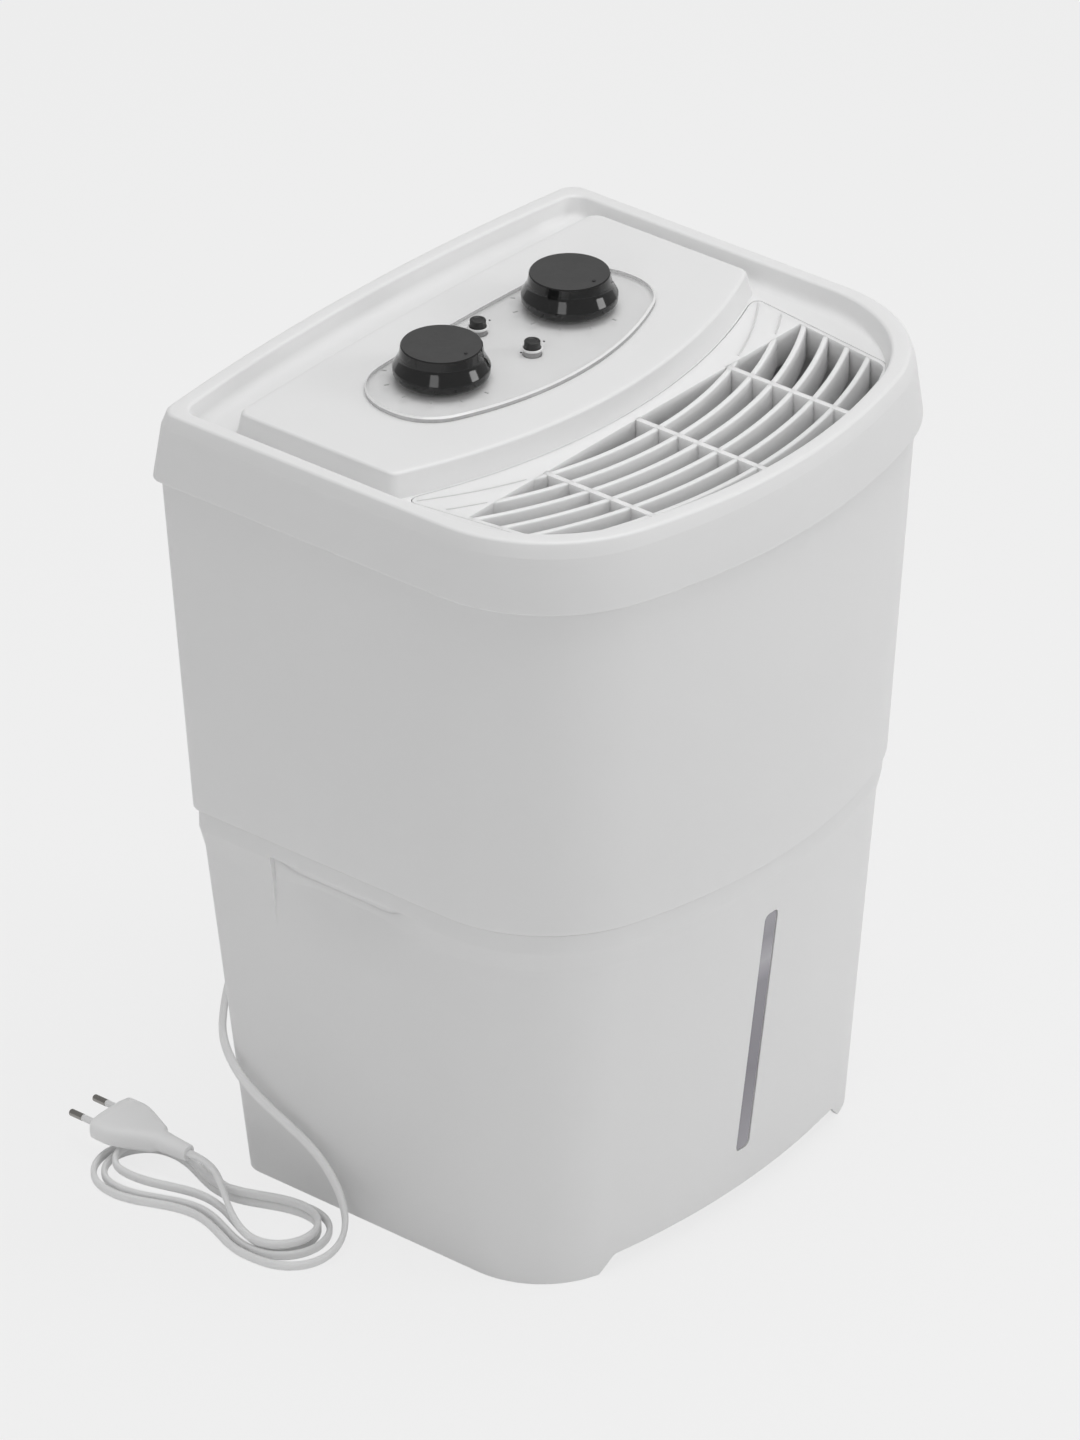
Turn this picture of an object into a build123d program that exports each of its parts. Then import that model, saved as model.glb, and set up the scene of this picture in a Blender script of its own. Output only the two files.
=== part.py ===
"""Evaporative air washer: a drafted water tub, and an upper unit with fan and controls that lifts off it.

Millimetres, +Z up. The origin is the centre of the foot, on the floor, and the front faces -Y.
"""

import math
import os

from build123d import *

# Plan of the body, at the bottom edge of the lid's skirt
HALF_WIDTH = 169.0
HALF_DEPTH = 150.5
FRONT_BOW = 40.0
REAR_BOW = 10.0
FRONT_CORNER = 86.0
REAR_CORNER = 10.0
CORNER_SHRINK = 0.4

# Heights of the main mouldings
RIM_TOP = 454.0
RIM_EDGE_Z = 452.8
RIM_SHOULDER_Z = 446.0
PLATEAU_TOP = 456.0
DECK_TOP = 442.5
SKIRT_BOTTOM = 416.0
SHOULDER_TOP = 418.0
CASING_BOTTOM = 222.0
TUB_TOP = 226.0
TUB_FLOOR = 14.8

# How far each level stands in from the plan
RIM_SHOULDER_INSET = 3.4
RIM_EDGE_INSET = 5.4
RIM_CREST_OUTER = 7.0
RIM_CREST_INNER = 13.5
RIM_FOOT_INSET = 16.0
CASING_TOP_INSET = 3.1
CASING_BOTTOM_INSET = 13.0
TUB_RIM_INSET = 16.2
TUB_WAIST_INSET = 18.8
TUB_FOOT_INSET = 31.0

# Walls and clearances
WALL = 2.6
TUB_WALL = 2.8
PART_GAP = 0.4
SEAT_GAP = 0.3
SHAFT_GAP = 0.05

# Tub
RIM_BAND = 16.0
RIM_BAND_SLOPE = 12.0
RECESS_CENTRE_Y = 23.0
RECESS_LENGTH = 102.0
RECESS_DEPTH = 10.0
RECESS_RISE = 44.0
RECESS_TOP = 211.5
RECESS_BOTTOM = 164.0
RECESS_CORNER = 4.0
ARCH_HALF = 105.0
ARCH_RISE = 10.0
ARCH_CORNER = 8.0
BASE_HEIGHT = 12.0
WINDOW_BOTTOM = 39.0
WINDOW_TOP = 184.0
WINDOW_WIDTH = 11.0
WINDOW_FLANGE = 3.6
GASKET_THICK = 1.3

# Evaporator cassette, which stands in the tub
CASSETTE_GAP = 11.2
CASSETTE_TOP = 300.0
CASSETTE_PLATE = 4.0
CASSETTE_RAIL = 8.0
CASSETTE_BORDER = 14.0
CASSETTE_SILL = 24.0
PAD_THICK = 32.0
PAD_SPACING = 74.0
PAD_FLUTES = 15

# Casing
SEAT_WIDTH = 11.0
SEAT_THICK = 3.0
NECK_INSET = 11.5
NECK_TOP = 437.0
SHELF_TOP = 329.0
SHELF_WIDTH = 7.0
INTAKE_HALF = 100.0
INTAKE_BOTTOM = 264.0
INTAKE_TOP = 316.0
INTAKE_FLANGE = 5.0
INTAKE_PROUD = 2.0
INTAKE_SLATS = 7
FILTER_THICK = 7.0
FILTER_BACK = 31.5
GUIDE_WIDTH = 5.0

# Lid, grille and panel
SEAT_RIB = 4.0
GRILLE_EDGE = 2.3
GRILLE_PLATE = 2.5
GRILLE_REAR_MARGIN = 29.0
GRILLE_REAR_BACK = 144.5
GRILLE_FRONT_MARGIN = 41.0
GRILLE_FRONT_BACK = 56.5
GRILLE_END_EDGE = 3.0
CHORD_BACK = 108.5
VANE_COUNT = 6
VANE_PITCH = 12.8
VANE_THICK = 2.6
VANE_DEPTH = 11.0
BAR_SPACING = 73.0
BAR_THICK = 3.2
BAR_DEPTH = 9.0
RIDGE_COUNT = 2
RIDGE_WIDTH = 1.4
RIDGE_HEIGHT = 0.7
PLATEAU_MARGIN = 27.0
PLATEAU_FRONT_BACK = 118.5
PLATEAU_REAR_MARGIN = 44.5
PLATEAU_BOW = 32.0
PLATEAU_REAR_BOW = 4.0
PLATEAU_CORNER = 6.0
PLATEAU_DRAFT = 2.2
PLATE_MARGIN = 46.0
PLATE_FRONT_MARGIN = 26.0
PLATE_REAR_MARGIN = 29.0
PLATE_BOW = 26.0
PLATE_REAR_BOW = 3.0
PLATE_FRONT_CORNER = 30.0
PLATE_REAR_CORNER = 34.0
PLATE_THICK = 3.0

# Knobs and buttons
KNOB_X = 51.0
KNOB_BACK = 32.7
KNOB_TOP = 477.0
KNOB_LIFT = 0.8
KNOB_RADIUS = 25.0
KNOB_TOP_RADIUS = 21.0
KNOB_LIP = 4.5
KNOB_WAIST = 9.0
KNOB_WALL = 2.4
SPINDLE_RADIUS = 3.0
SPINDLE_HOLE = 4.4
KNOB_BOSS_RADIUS = 6.0
BUTTON_OFFSETS = (-17.3, 18.7)
BUTTON_TOP = 464.0
BUTTON_RADIUS = 4.2
BUTTON_TRAVEL = 2.5
COLLAR_RADIUS = 6.4
COLLAR_HEIGHT = 1.4

# Control board under the plateau
BOARD_TOP = 434.0
BOARD_THICK = 1.6
BOARD_HALF = 88.0
BOARD_AHEAD = 36.3
BOARD_BEHIND = 39.7
POST_RADIUS = 4.5
SWITCH_SIDE = 30.0
SWITCH_HEIGHT = 12.0
SWITCH_BUSH_RADIUS = 5.0
PUSH_SIDE = 12.0
PUSH_HEIGHT = 9.0
TERMINAL_LENGTH = 34.0
TERMINAL_DEPTH = 12.0
TERMINAL_HEIGHT = 11.0

# Fan
FAN_Y = 0.0
FAN_RADIUS = 84.0
FAN_TIP_GAP = 3.0
FAN_HUB_RADIUS = 27.0
FAN_BLADES = 7
FAN_BLADE_THICK = 2.0
FAN_BLADE_PITCH = 32.0
FAN_HEIGHT = 26.0
FAN_HUB_RISE = 20.0
BELL_WALL = 2.6
BELL_DROP = 11.0
BELL_RISE = 24.0
DECK_PLATE = 3.0
BRACKET_RISE = 31.0
BRACKET_PLATE = 3.0
BRACKET_ARMS = 3
BRACKET_ARM_WIDTH = 12.0
BRACKET_FOOT = 14.0
MOTOR_RADIUS = 36.0
MOTOR_HEIGHT = 44.0
MOTOR_SHAFT_RADIUS = 4.0
MOTOR_SHAFT_LENGTH = 34.0
MOTOR_SCREW_CIRCLE = 27.0

# Float switch
FLOAT_SIDE_MARGIN = 65.0
FLOAT_REAR_MARGIN = 62.5
STEM_RADIUS = 4.0
STEM_BOTTOM = 30.0
STEM_FLANGE_RADIUS = 11.0
STOP_RADIUS = 7.0
STOP_THICK = 3.0
FLOAT_RADIUS = 15.0
FLOAT_HEIGHT = 24.0
FLOAT_TRAVEL = 20.0

# Screws
SCREW_RADIUS = 1.7
SCREW_HEAD_RADIUS = 3.6
SCREW_HEAD = 2.4
SCREW_GAP = 0.1
BOSS_RADIUS = 5.0
LUG_MARGIN = 43.0
LUG_FRONT_BACK = 148.5
LUG_REAR_MARGIN = 38.5

# Mains lead
CORD_RADIUS = 2.6
GLAND_X = -20.0
GLAND_Z = 240.0
GLAND_LENGTH = 20.0
GLAND_FLANGE = 3.0
GLAND_FLANGE_RADIUS = 9.0
GLAND_BODY_RADIUS = 5.5
GLAND_TIP_RADIUS = 4.0
GLAND_INSIDE = 8.0
HANK_X = -176.0
HANK_Y = 92.0
HANK_LAYER = 5.8
HANK_FLOOR = 0.1
HANK_RUN = 46.0
HANK_TURNS = 2
HANK_TURN_RADIUS = 29.0
HANK_TURN_STEP = 7.4
HANK_WAIST_DRAW = 7.0
HANK_UPPER_SHRINK = 3.6
HANK_RISE = 24.0
HANK_SAMPLES = 900
TAIL_X = -112.0
TAIL_Y = 98.0
PLUG_X = -168.0
PLUG_REAR_Y = 142.0
PLUG_LENGTH = 36.0
PLUG_WIDTH = 34.0
PLUG_NECK_WIDTH = 15.0
PLUG_THICK = 13.6
PLUG_RELIEF = 20.0
PIN_SPACING = 18.6
PIN_RADIUS = 2.0
PIN_LENGTH = 19.0
SLEEVE_LENGTH = 10.0
SLEEVE_RADIUS = 1.9
FIT_GAP = 0.02

# Worked out from the sizes above
RIM_BAND_FOOT = TUB_TOP - RIM_BAND
WAIST_Z = RIM_BAND_FOOT - RIM_BAND_SLOPE
CASSETTE_HALF = HALF_WIDTH - TUB_FOOT_INSET - TUB_WALL - CASSETTE_GAP
DECK_UNDER = DECK_TOP - WALL
FILTER_Y = HALF_DEPTH - FILTER_BACK
GRILLE_SIDE_REAR = (HALF_WIDTH - GRILLE_REAR_MARGIN, GRILLE_REAR_BACK - HALF_DEPTH)
GRILLE_SIDE_FRONT = (HALF_WIDTH - GRILLE_FRONT_MARGIN, GRILLE_FRONT_BACK - HALF_DEPTH)
CHORD_Y = CHORD_BACK - HALF_DEPTH
PLATEAU_UNDER = PLATEAU_TOP - WALL
PLATEAU_HALF = HALF_WIDTH - PLATEAU_MARGIN
PLATEAU_FRONT = PLATEAU_FRONT_BACK - HALF_DEPTH
PLATEAU_REAR = HALF_DEPTH - PLATEAU_REAR_MARGIN
PLATE_TOP = PLATEAU_TOP + PLATE_THICK
PLATE_HALF = PLATEAU_HALF - PLATE_MARGIN
PLATE_FRONT = PLATEAU_FRONT + PLATE_FRONT_MARGIN
PLATE_REAR = PLATEAU_REAR - PLATE_REAR_MARGIN
KNOB_Y = PLATE_REAR - KNOB_BACK
KNOB_BOTTOM = PLATE_TOP + KNOB_LIFT
BUTTON_YS = [KNOB_Y + offset for offset in BUTTON_OFFSETS]
BOARD_FRONT = KNOB_Y - BOARD_AHEAD
BOARD_REAR = KNOB_Y + BOARD_BEHIND
BOARD_POSTS = [(x, y) for x in (-BOARD_HALF + 8, BOARD_HALF - 8) for y in (BOARD_FRONT + 8, BOARD_REAR - 8)]
FAN_DECK_TOP = SHELF_TOP + DECK_PLATE
FAN_HUB_TOP = SHELF_TOP + FAN_HUB_RISE
BELL_RADIUS = FAN_RADIUS + FAN_TIP_GAP
BELL_BOTTOM = SHELF_TOP - BELL_DROP
BELL_TOP = SHELF_TOP + BELL_RISE
BRACKET_TOP = SHELF_TOP + BRACKET_RISE
FLOAT_X = HALF_WIDTH - FLOAT_SIDE_MARGIN
FLOAT_Y = HALF_DEPTH - FLOAT_REAR_MARGIN
LUG_X = HALF_WIDTH - LUG_MARGIN
LUG_YS = (LUG_FRONT_BACK - HALF_DEPTH, HALF_DEPTH - LUG_REAR_MARGIN)
LUG_POINTS = [(x, y) for x in (-LUG_X, LUG_X) for y in LUG_YS]
PLUG_Z = HANK_FLOOR + 2 * CORD_RADIUS + HANK_LAYER + SEAT_GAP + PLUG_THICK / 2


def bowed_face(half_width, y_front, y_rear, front_bow, rear_bow, front_corner, rear_corner, z=0.0):
    """Plan outline with a bowed front and rear, straight sides and tangent round corners."""

    def quarter(bow, corner, y_end, inward):
        radius = (half_width**2 + bow**2) / (2 * bow)
        arc_y = y_end + inward * radius
        corner_x = half_width - corner
        corner_y = arc_y - inward * math.sqrt((radius - corner) ** 2 - corner_x**2)
        reach = radius / (radius - corner)
        touch = (corner_x * reach, arc_y + (corner_y - arc_y) * reach)
        half_angle = math.atan2(touch[1] - corner_y, touch[0] - corner_x) / 2
        middle = (corner_x + corner * math.cos(half_angle), corner_y + corner * math.sin(half_angle))
        return touch, middle, (half_width, corner_y)

    def left(point):
        return (-point[0], point[1])

    f_touch, f_mid, f_side = quarter(front_bow, front_corner, y_front, 1)
    r_touch, r_mid, r_side = quarter(rear_bow, rear_corner, y_rear, -1)
    edges = [
        ThreePointArc(left(f_touch), (0, y_front), f_touch),
        ThreePointArc(f_touch, f_mid, f_side),
        Line(f_side, r_side),
        ThreePointArc(r_side, r_mid, r_touch),
        ThreePointArc(r_touch, (0, y_rear), left(r_touch)),
        ThreePointArc(left(r_touch), left(r_mid), left(r_side)),
        Line(left(r_side), left(f_side)),
        ThreePointArc(left(f_side), left(f_mid), left(f_touch)),
    ]
    return Pos(0, 0, z) * make_face(edges)


def plan(inset, z=0.0):
    """The body's outline at one level, set in from the skirt's bottom edge."""
    return bowed_face(
        HALF_WIDTH - inset,
        inset - HALF_DEPTH,
        HALF_DEPTH - inset,
        FRONT_BOW,
        REAR_BOW,
        FRONT_CORNER - CORNER_SHRINK * inset,
        REAR_CORNER,
        z,
    )


def body_loft(*levels):
    """Ruled solid through outlines given as (height, inset)."""
    return loft([plan(inset, z) for z, inset in levels], ruled=True)


def ring(outer_inset, inner_inset, z_low, z_high):
    """Flat ring between two outlines."""
    return extrude(plan(outer_inset, z_low) - plan(inner_inset, z_low), z_high - z_low)


def between(z, low, high):
    """Inset at a height on the straight draft between two (height, inset) levels."""
    return low[1] + (high[1] - low[1]) * (z - low[0]) / (high[0] - low[0])


def casing_inset(z):
    return between(z, (CASING_BOTTOM, CASING_BOTTOM_INSET), (SHOULDER_TOP, CASING_TOP_INSET))


def tub_inset(z):
    return between(z, (0, TUB_FOOT_INSET), (WAIST_Z, TUB_WAIST_INSET))


def front_arc(inset):
    """Radius and centre of the front arc of an outline."""
    half = HALF_WIDTH - inset
    radius = (half**2 + FRONT_BOW**2) / (2 * FRONT_BOW)
    return radius, inset - HALF_DEPTH + radius


def rear_y(x, inset):
    """Rear wall of an outline at a given x."""
    half = HALF_WIDTH - inset
    radius = (half**2 + REAR_BOW**2) / (2 * REAR_BOW)
    return HALF_DEPTH - inset - radius + math.sqrt(radius**2 - x**2)


def block(x_low, x_high, y_low, y_high, z_low, z_high):
    centre = Pos((x_low + x_high) / 2, (y_low + y_high) / 2, (z_low + z_high) / 2)
    return centre * Box(x_high - x_low, y_high - y_low, z_high - z_low)


def drum(x, y, radius, z_low, z_high):
    return Pos(x, y, (z_low + z_high) / 2) * Cylinder(radius, z_high - z_low)


def screw(x, y, seat, tip):
    """Round-headed screw: its head bears on seat and its shank runs to tip."""
    way = 1 if tip > seat else -1
    shank = drum(x, y, SCREW_RADIUS, min(seat, tip), max(seat, tip))
    head_far = seat - way * SCREW_HEAD
    return shank + drum(x, y, SCREW_HEAD_RADIUS, min(seat, head_far), max(seat, head_far))


def save(name, *pieces):
    """One file for each node, of one solid or a group of separate solids."""
    solids = [solid for piece in pieces for solid in piece.solids()]
    export_step(solids[0] if len(solids) == 1 else Compound(children=solids), f"parts/{name}.step")


# Tub


def recess_cutter(grow):
    """Finger recess of the right side: a wedge, deepest under the rim band."""
    outside = HALF_WIDTH + 20
    low_x = HALF_WIDTH - tub_inset(RECESS_BOTTOM)
    deep_x = HALF_WIDTH - TUB_RIM_INSET - RECESS_DEPTH
    deep_z = RECESS_BOTTOM + RECESS_RISE
    profile = make_face(
        Polyline(
            (outside, RECESS_BOTTOM - grow),
            (low_x - grow, RECESS_BOTTOM - grow),
            (deep_x - grow, deep_z - grow),
            (deep_x - grow, TUB_TOP),
            (outside, TUB_TOP),
            close=True,
        )
    )
    length = RECESS_LENGTH + 2 * grow
    wedge = extrude(Plane.XZ.offset(-RECESS_CENTRE_Y - length / 2) * profile, length)
    uprights = wedge.edges().filter_by(Axis.Z).group_by(Axis.X)[0]
    above = block(0, outside + 1, -HALF_DEPTH, HALF_DEPTH, RECESS_TOP + grow, TUB_TOP + 1)
    return fillet(uprights, RECESS_CORNER + grow) - above


def window_plane():
    """Plane on the tub's front face at the middle of the level window, facing out."""
    middle = (WINDOW_BOTTOM + WINDOW_TOP) / 2
    lean = math.atan2(tub_inset(WINDOW_BOTTOM) - tub_inset(WINDOW_TOP), WINDOW_TOP - WINDOW_BOTTOM)
    outward = (0, -math.cos(lean), -math.sin(lean))
    return Plane((0, tub_inset(middle) - HALF_DEPTH, middle), x_dir=(1, 0, 0), z_dir=outward)


def window_slot(grow, low, high):
    """Upright slot on the window's plane, between two depths along its normal."""
    length = WINDOW_TOP - WINDOW_BOTTOM
    face = SlotOverall(length + 2 * grow, WINDOW_WIDTH + 2 * grow, rotation=90)
    return extrude(window_plane().offset(low) * face, high - low)


def make_tub():
    outer = body_loft(
        (0, TUB_FOOT_INSET),
        (WAIST_Z, TUB_WAIST_INSET),
        (RIM_BAND_FOOT, TUB_RIM_INSET),
        (TUB_TOP, TUB_RIM_INSET),
    )
    inner = body_loft(
        (TUB_FLOOR, tub_inset(TUB_FLOOR) + TUB_WALL),
        (WAIST_Z, TUB_WAIST_INSET + TUB_WALL),
        (RIM_BAND_FOOT, TUB_RIM_INSET + TUB_WALL),
        (TUB_TOP + 1, TUB_RIM_INSET + TUB_WALL),
    )
    under = body_loft((-1, TUB_FOOT_INSET + TUB_WALL), (BASE_HEIGHT, tub_inset(BASE_HEIGHT) + TUB_WALL))
    recess = recess_cutter(0)
    backing = recess_cutter(TUB_WALL)
    inner = inner - backing - mirror(backing, Plane.YZ)
    tub = outer - recess - mirror(recess, Plane.YZ) - inner - under
    arch = block(-ARCH_HALF, ARCH_HALF, -HALF_DEPTH, -HALF_DEPTH / 2, -1, ARCH_RISE)
    arch = fillet(arch.edges().filter_by(Axis.Y).group_by(Axis.Z)[-1], ARCH_CORNER)
    return tub - arch - window_slot(0, -4 * TUB_WALL, TUB_WALL)


def make_window():
    flange_top = -TUB_WALL - SEAT_GAP - GASKET_THICK
    pane = window_slot(-PART_GAP / 2, flange_top, -PART_GAP)
    return pane + window_slot(WINDOW_FLANGE, flange_top - TUB_WALL, flange_top)


def make_gasket():
    low = -TUB_WALL - SEAT_GAP - GASKET_THICK
    high = low + GASKET_THICK
    return window_slot(WINDOW_FLANGE, low, high) - window_slot(PART_GAP, low - 1, high + 1)


# Evaporator cassette


def pad_span(side):
    middle = side * PAD_SPACING / 2
    return middle - PAD_THICK / 2, middle + PAD_THICK / 2


def make_cassette():
    depth = PAD_SPACING / 2 + PAD_THICK / 2 + CASSETTE_PLATE
    inside = CASSETTE_HALF - CASSETTE_PLATE
    frame = None
    for side in (-1, 1):
        x_edges = sorted((side * inside, side * CASSETTE_HALF))
        panel = block(*x_edges, -depth, depth, TUB_FLOOR, CASSETTE_TOP)
        y_edges = (-depth + CASSETTE_BORDER, depth - CASSETTE_BORDER)
        z_edges = (TUB_FLOOR + CASSETTE_SILL, CASSETTE_TOP - CASSETTE_BORDER)
        panel -= block(x_edges[0] - 1, x_edges[1] + 1, *y_edges, *z_edges)
        frame = panel if frame is None else frame + panel
    for side in (-1, 1):
        low, high = pad_span(side)
        front, rear = low - CASSETTE_PLATE, high + CASSETTE_PLATE
        for y_low, y_high in ((front, low - SEAT_GAP), (high + SEAT_GAP, rear)):
            for z_low in (TUB_FLOOR, CASSETTE_TOP - CASSETTE_RAIL):
                frame += block(-inside, inside, y_low, y_high, z_low, z_low + CASSETTE_RAIL)
        frame += block(-inside, inside, front, rear, TUB_FLOOR, TUB_FLOOR + 3)
    return frame


def make_pad(side):
    """Wick pad with upright flutes on both faces."""
    low, high = pad_span(side)
    half = CASSETTE_HALF - CASSETTE_PLATE - SEAT_GAP
    pad = block(-half, half, low, high, TUB_FLOOR + 3 + SEAT_GAP, CASSETTE_TOP - 2)
    pitch = 2 * half / PAD_FLUTES
    for i in range(PAD_FLUTES):
        x = -half + pitch * (i + 0.5)
        for y in (low, high):
            pad -= block(x - pitch / 4, x + pitch / 4, y - 3, y + 3, TUB_FLOOR + 14, CASSETTE_TOP + 1)
    return pad


# Casing and what hangs in it


def intake_box(grow, y_low):
    half = INTAKE_HALF + grow
    return block(-half, half, y_low, HALF_DEPTH + 20, INTAKE_BOTTOM - grow, INTAKE_TOP + grow)


def make_casing():
    top_in = CASING_TOP_INSET + WALL
    outer = body_loft((CASING_BOTTOM, CASING_BOTTOM_INSET), (SHOULDER_TOP, CASING_TOP_INSET))
    inner = body_loft((CASING_BOTTOM, CASING_BOTTOM_INSET + WALL), (SHOULDER_TOP - WALL, top_in))
    neck_hole = extrude(plan(NECK_INSET + WALL, SHOULDER_TOP - 2 * WALL), NECK_TOP)
    casing = outer - inner - neck_hole
    casing += ring(NECK_INSET, NECK_INSET + WALL, SHOULDER_TOP - WALL, NECK_TOP)
    seat_low = TUB_TOP + SEAT_GAP
    seat_inset = casing_inset(seat_low) + WALL / 2
    casing += ring(seat_inset, seat_inset + SEAT_WIDTH, seat_low, seat_low + SEAT_THICK)
    shelf_inset = casing_inset(SHELF_TOP) + WALL / 2
    casing += ring(shelf_inset, shelf_inset + SHELF_WIDTH, SHELF_TOP - SEAT_THICK, SHELF_TOP)
    casing += filter_guides()
    for x, y in LUG_POINTS:
        casing += lug(x, y)
    casing -= intake_box(0, FILTER_Y + FILTER_THICK + 1)
    hole = Pos(GLAND_X, HALF_DEPTH, GLAND_Z) * Rot(90, 0, 0) * Cylinder(GLAND_BODY_RADIUS + SCREW_GAP, 60)
    return casing - hole


def lug(x, y):
    """Lug inside the neck that takes one lid screw from below."""
    side = 1 if x > 0 else -1
    reach = sorted((x - side * BOSS_RADIUS, side * (HALF_WIDTH - NECK_INSET - WALL / 2)))
    plate = block(*reach, y - BOSS_RADIUS, y + BOSS_RADIUS, NECK_TOP - SEAT_THICK, NECK_TOP)
    return plate - drum(x, y, SCREW_RADIUS + SCREW_GAP, NECK_TOP - 10, NECK_TOP + 10)


def filter_guides():
    """Channel on the rear wall, inside, that the dust filter drops into."""
    low, high = INTAKE_BOTTOM - 4, INTAKE_TOP + 4
    inner_x = INTAKE_HALF + SEAT_GAP
    wall_y = rear_y(INTAKE_HALF + GUIDE_WIDTH, casing_inset(low) + WALL / 2)
    guides = block(-inner_x - GUIDE_WIDTH, inner_x + GUIDE_WIDTH, FILTER_Y - 2, wall_y, low - 2, low)
    for side in (-1, 1):
        rail = sorted((side * inner_x, side * (inner_x + GUIDE_WIDTH)))
        lip = sorted((side * (inner_x - 4), side * (inner_x + GUIDE_WIDTH)))
        guides += block(*rail, FILTER_Y - 2, wall_y, low, high)
        guides += block(*lip, FILTER_Y - 2 - SEAT_GAP, FILTER_Y - SEAT_GAP, low, high)
    return guides


def make_intake_grille():
    low, high = INTAKE_BOTTOM - 20, INTAKE_TOP + 20

    def skin(offset_out):
        return body_loft((low, casing_inset(low) - offset_out), (high, casing_inset(high) - offset_out))

    flange = (skin(INTAKE_PROUD) - skin(0)) & intake_box(INTAKE_FLANGE, HALF_DEPTH / 2)
    plug = (skin(0.5) - skin(-WALL)) & intake_box(-PART_GAP, HALF_DEPTH / 2)
    grille = flange + plug
    pitch = (INTAKE_TOP - INTAKE_BOTTOM) / INTAKE_SLATS
    for i in range(INTAKE_SLATS):
        z = INTAKE_BOTTOM + pitch * (i + 0.5)
        for side in (-1, 1):
            x_edges = sorted((side * 3, side * (INTAKE_HALF - 4)))
            grille -= block(*x_edges, HALF_DEPTH / 2, HALF_DEPTH + 20, z - pitch * 0.3, z + pitch * 0.3)
    return grille


def make_dust_filter():
    low = INTAKE_BOTTOM - 4 + SEAT_GAP
    return block(-INTAKE_HALF, INTAKE_HALF, FILTER_Y, FILTER_Y + FILTER_THICK, low, INTAKE_TOP + 2)


def make_fan_deck():
    inset = casing_inset(SHELF_TOP) + WALL + PART_GAP
    deck = extrude(plan(inset, SHELF_TOP), DECK_PLATE)
    deck += drum(0, FAN_Y, BELL_RADIUS + BELL_WALL, BELL_BOTTOM, BELL_TOP)
    deck -= drum(0, FAN_Y, BELL_RADIUS, BELL_BOTTOM - 1, BELL_TOP + 1)
    for x, y in bracket_feet():
        deck -= drum(x, y, SCREW_RADIUS + SCREW_GAP, SHELF_TOP - 1, FAN_DECK_TOP + 1)
    deck -= drum(TAIL_X, TAIL_Y, CORD_RADIUS + PART_GAP, SHELF_TOP - 1, FAN_DECK_TOP + 1)
    return deck - drum(FLOAT_X, FLOAT_Y, STEM_RADIUS + SCREW_GAP, SHELF_TOP - 1, FAN_DECK_TOP + 1)


def arm_angles():
    return [90 + 360 * i / BRACKET_ARMS for i in range(BRACKET_ARMS)]


def bracket_feet():
    angles = [math.radians(a) for a in arm_angles()]
    reach = BELL_RADIUS + BELL_WALL + PART_GAP + BRACKET_FOOT / 2
    return [(reach * math.cos(a), FAN_Y + reach * math.sin(a)) for a in angles]


def make_motor_bracket():
    """Spider over the bell mouth: a centre plate on legs that stand on the fan deck."""
    under = BRACKET_TOP - BRACKET_PLATE
    bracket = drum(0, FAN_Y, MOTOR_RADIUS - 2, under, BRACKET_TOP)
    inner = BELL_RADIUS + BELL_WALL + PART_GAP
    for angle in arm_angles():
        turn = Pos(0, FAN_Y) * Rot(0, 0, angle)
        half = BRACKET_ARM_WIDTH / 2
        bracket += turn * block(0, inner + BRACKET_PLATE, -half, half, under, BRACKET_TOP)
        bracket += turn * block(inner, inner + BRACKET_PLATE, -half, half, FAN_DECK_TOP, BRACKET_TOP)
        foot_top = FAN_DECK_TOP + BRACKET_PLATE
        bracket += turn * block(inner, inner + BRACKET_FOOT, -half, half, FAN_DECK_TOP, foot_top)
    for x, y in bracket_feet():
        bracket -= drum(x, y, SCREW_RADIUS + SCREW_GAP, FAN_DECK_TOP - 1, FAN_DECK_TOP + 9)
    for x, y in motor_screw_points():
        bracket -= drum(x, y, SCREW_RADIUS + SCREW_GAP, under - 1, BRACKET_TOP + 1)
    return bracket - drum(0, FAN_Y, MOTOR_SHAFT_RADIUS + 2, under - 1, BRACKET_TOP + 1)


def motor_screw_points():
    angles = [math.radians(a + 60) for a in arm_angles()]
    reach = MOTOR_SCREW_CIRCLE
    return [(reach * math.cos(a), FAN_Y + reach * math.sin(a)) for a in angles]


def make_motor():
    can = drum(0, FAN_Y, MOTOR_RADIUS, BRACKET_TOP, BRACKET_TOP + MOTOR_HEIGHT)
    can = fillet(can.edges().group_by(Axis.Z)[-1], 5)
    can -= drum(0, FAN_Y, MOTOR_SHAFT_RADIUS + SHAFT_GAP, BRACKET_TOP - 1, BRACKET_TOP + MOTOR_HEIGHT / 2)
    for x, y in motor_screw_points():
        can -= drum(x, y, SCREW_RADIUS + SCREW_GAP, BRACKET_TOP - 1, BRACKET_TOP + 8)
    return can


def make_motor_screws():
    lower = [screw(x, y, BRACKET_TOP - BRACKET_PLATE, BRACKET_TOP + 7) for x, y in motor_screw_points()]
    feet = [screw(x, y, FAN_DECK_TOP + BRACKET_PLATE, SHELF_TOP - 2) for x, y in bracket_feet()]
    return lower + feet


def make_shaft():
    top = BRACKET_TOP + MOTOR_HEIGHT / 2 - 1
    return drum(0, FAN_Y, MOTOR_SHAFT_RADIUS, FAN_HUB_TOP - MOTOR_SHAFT_LENGTH, top)


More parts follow.
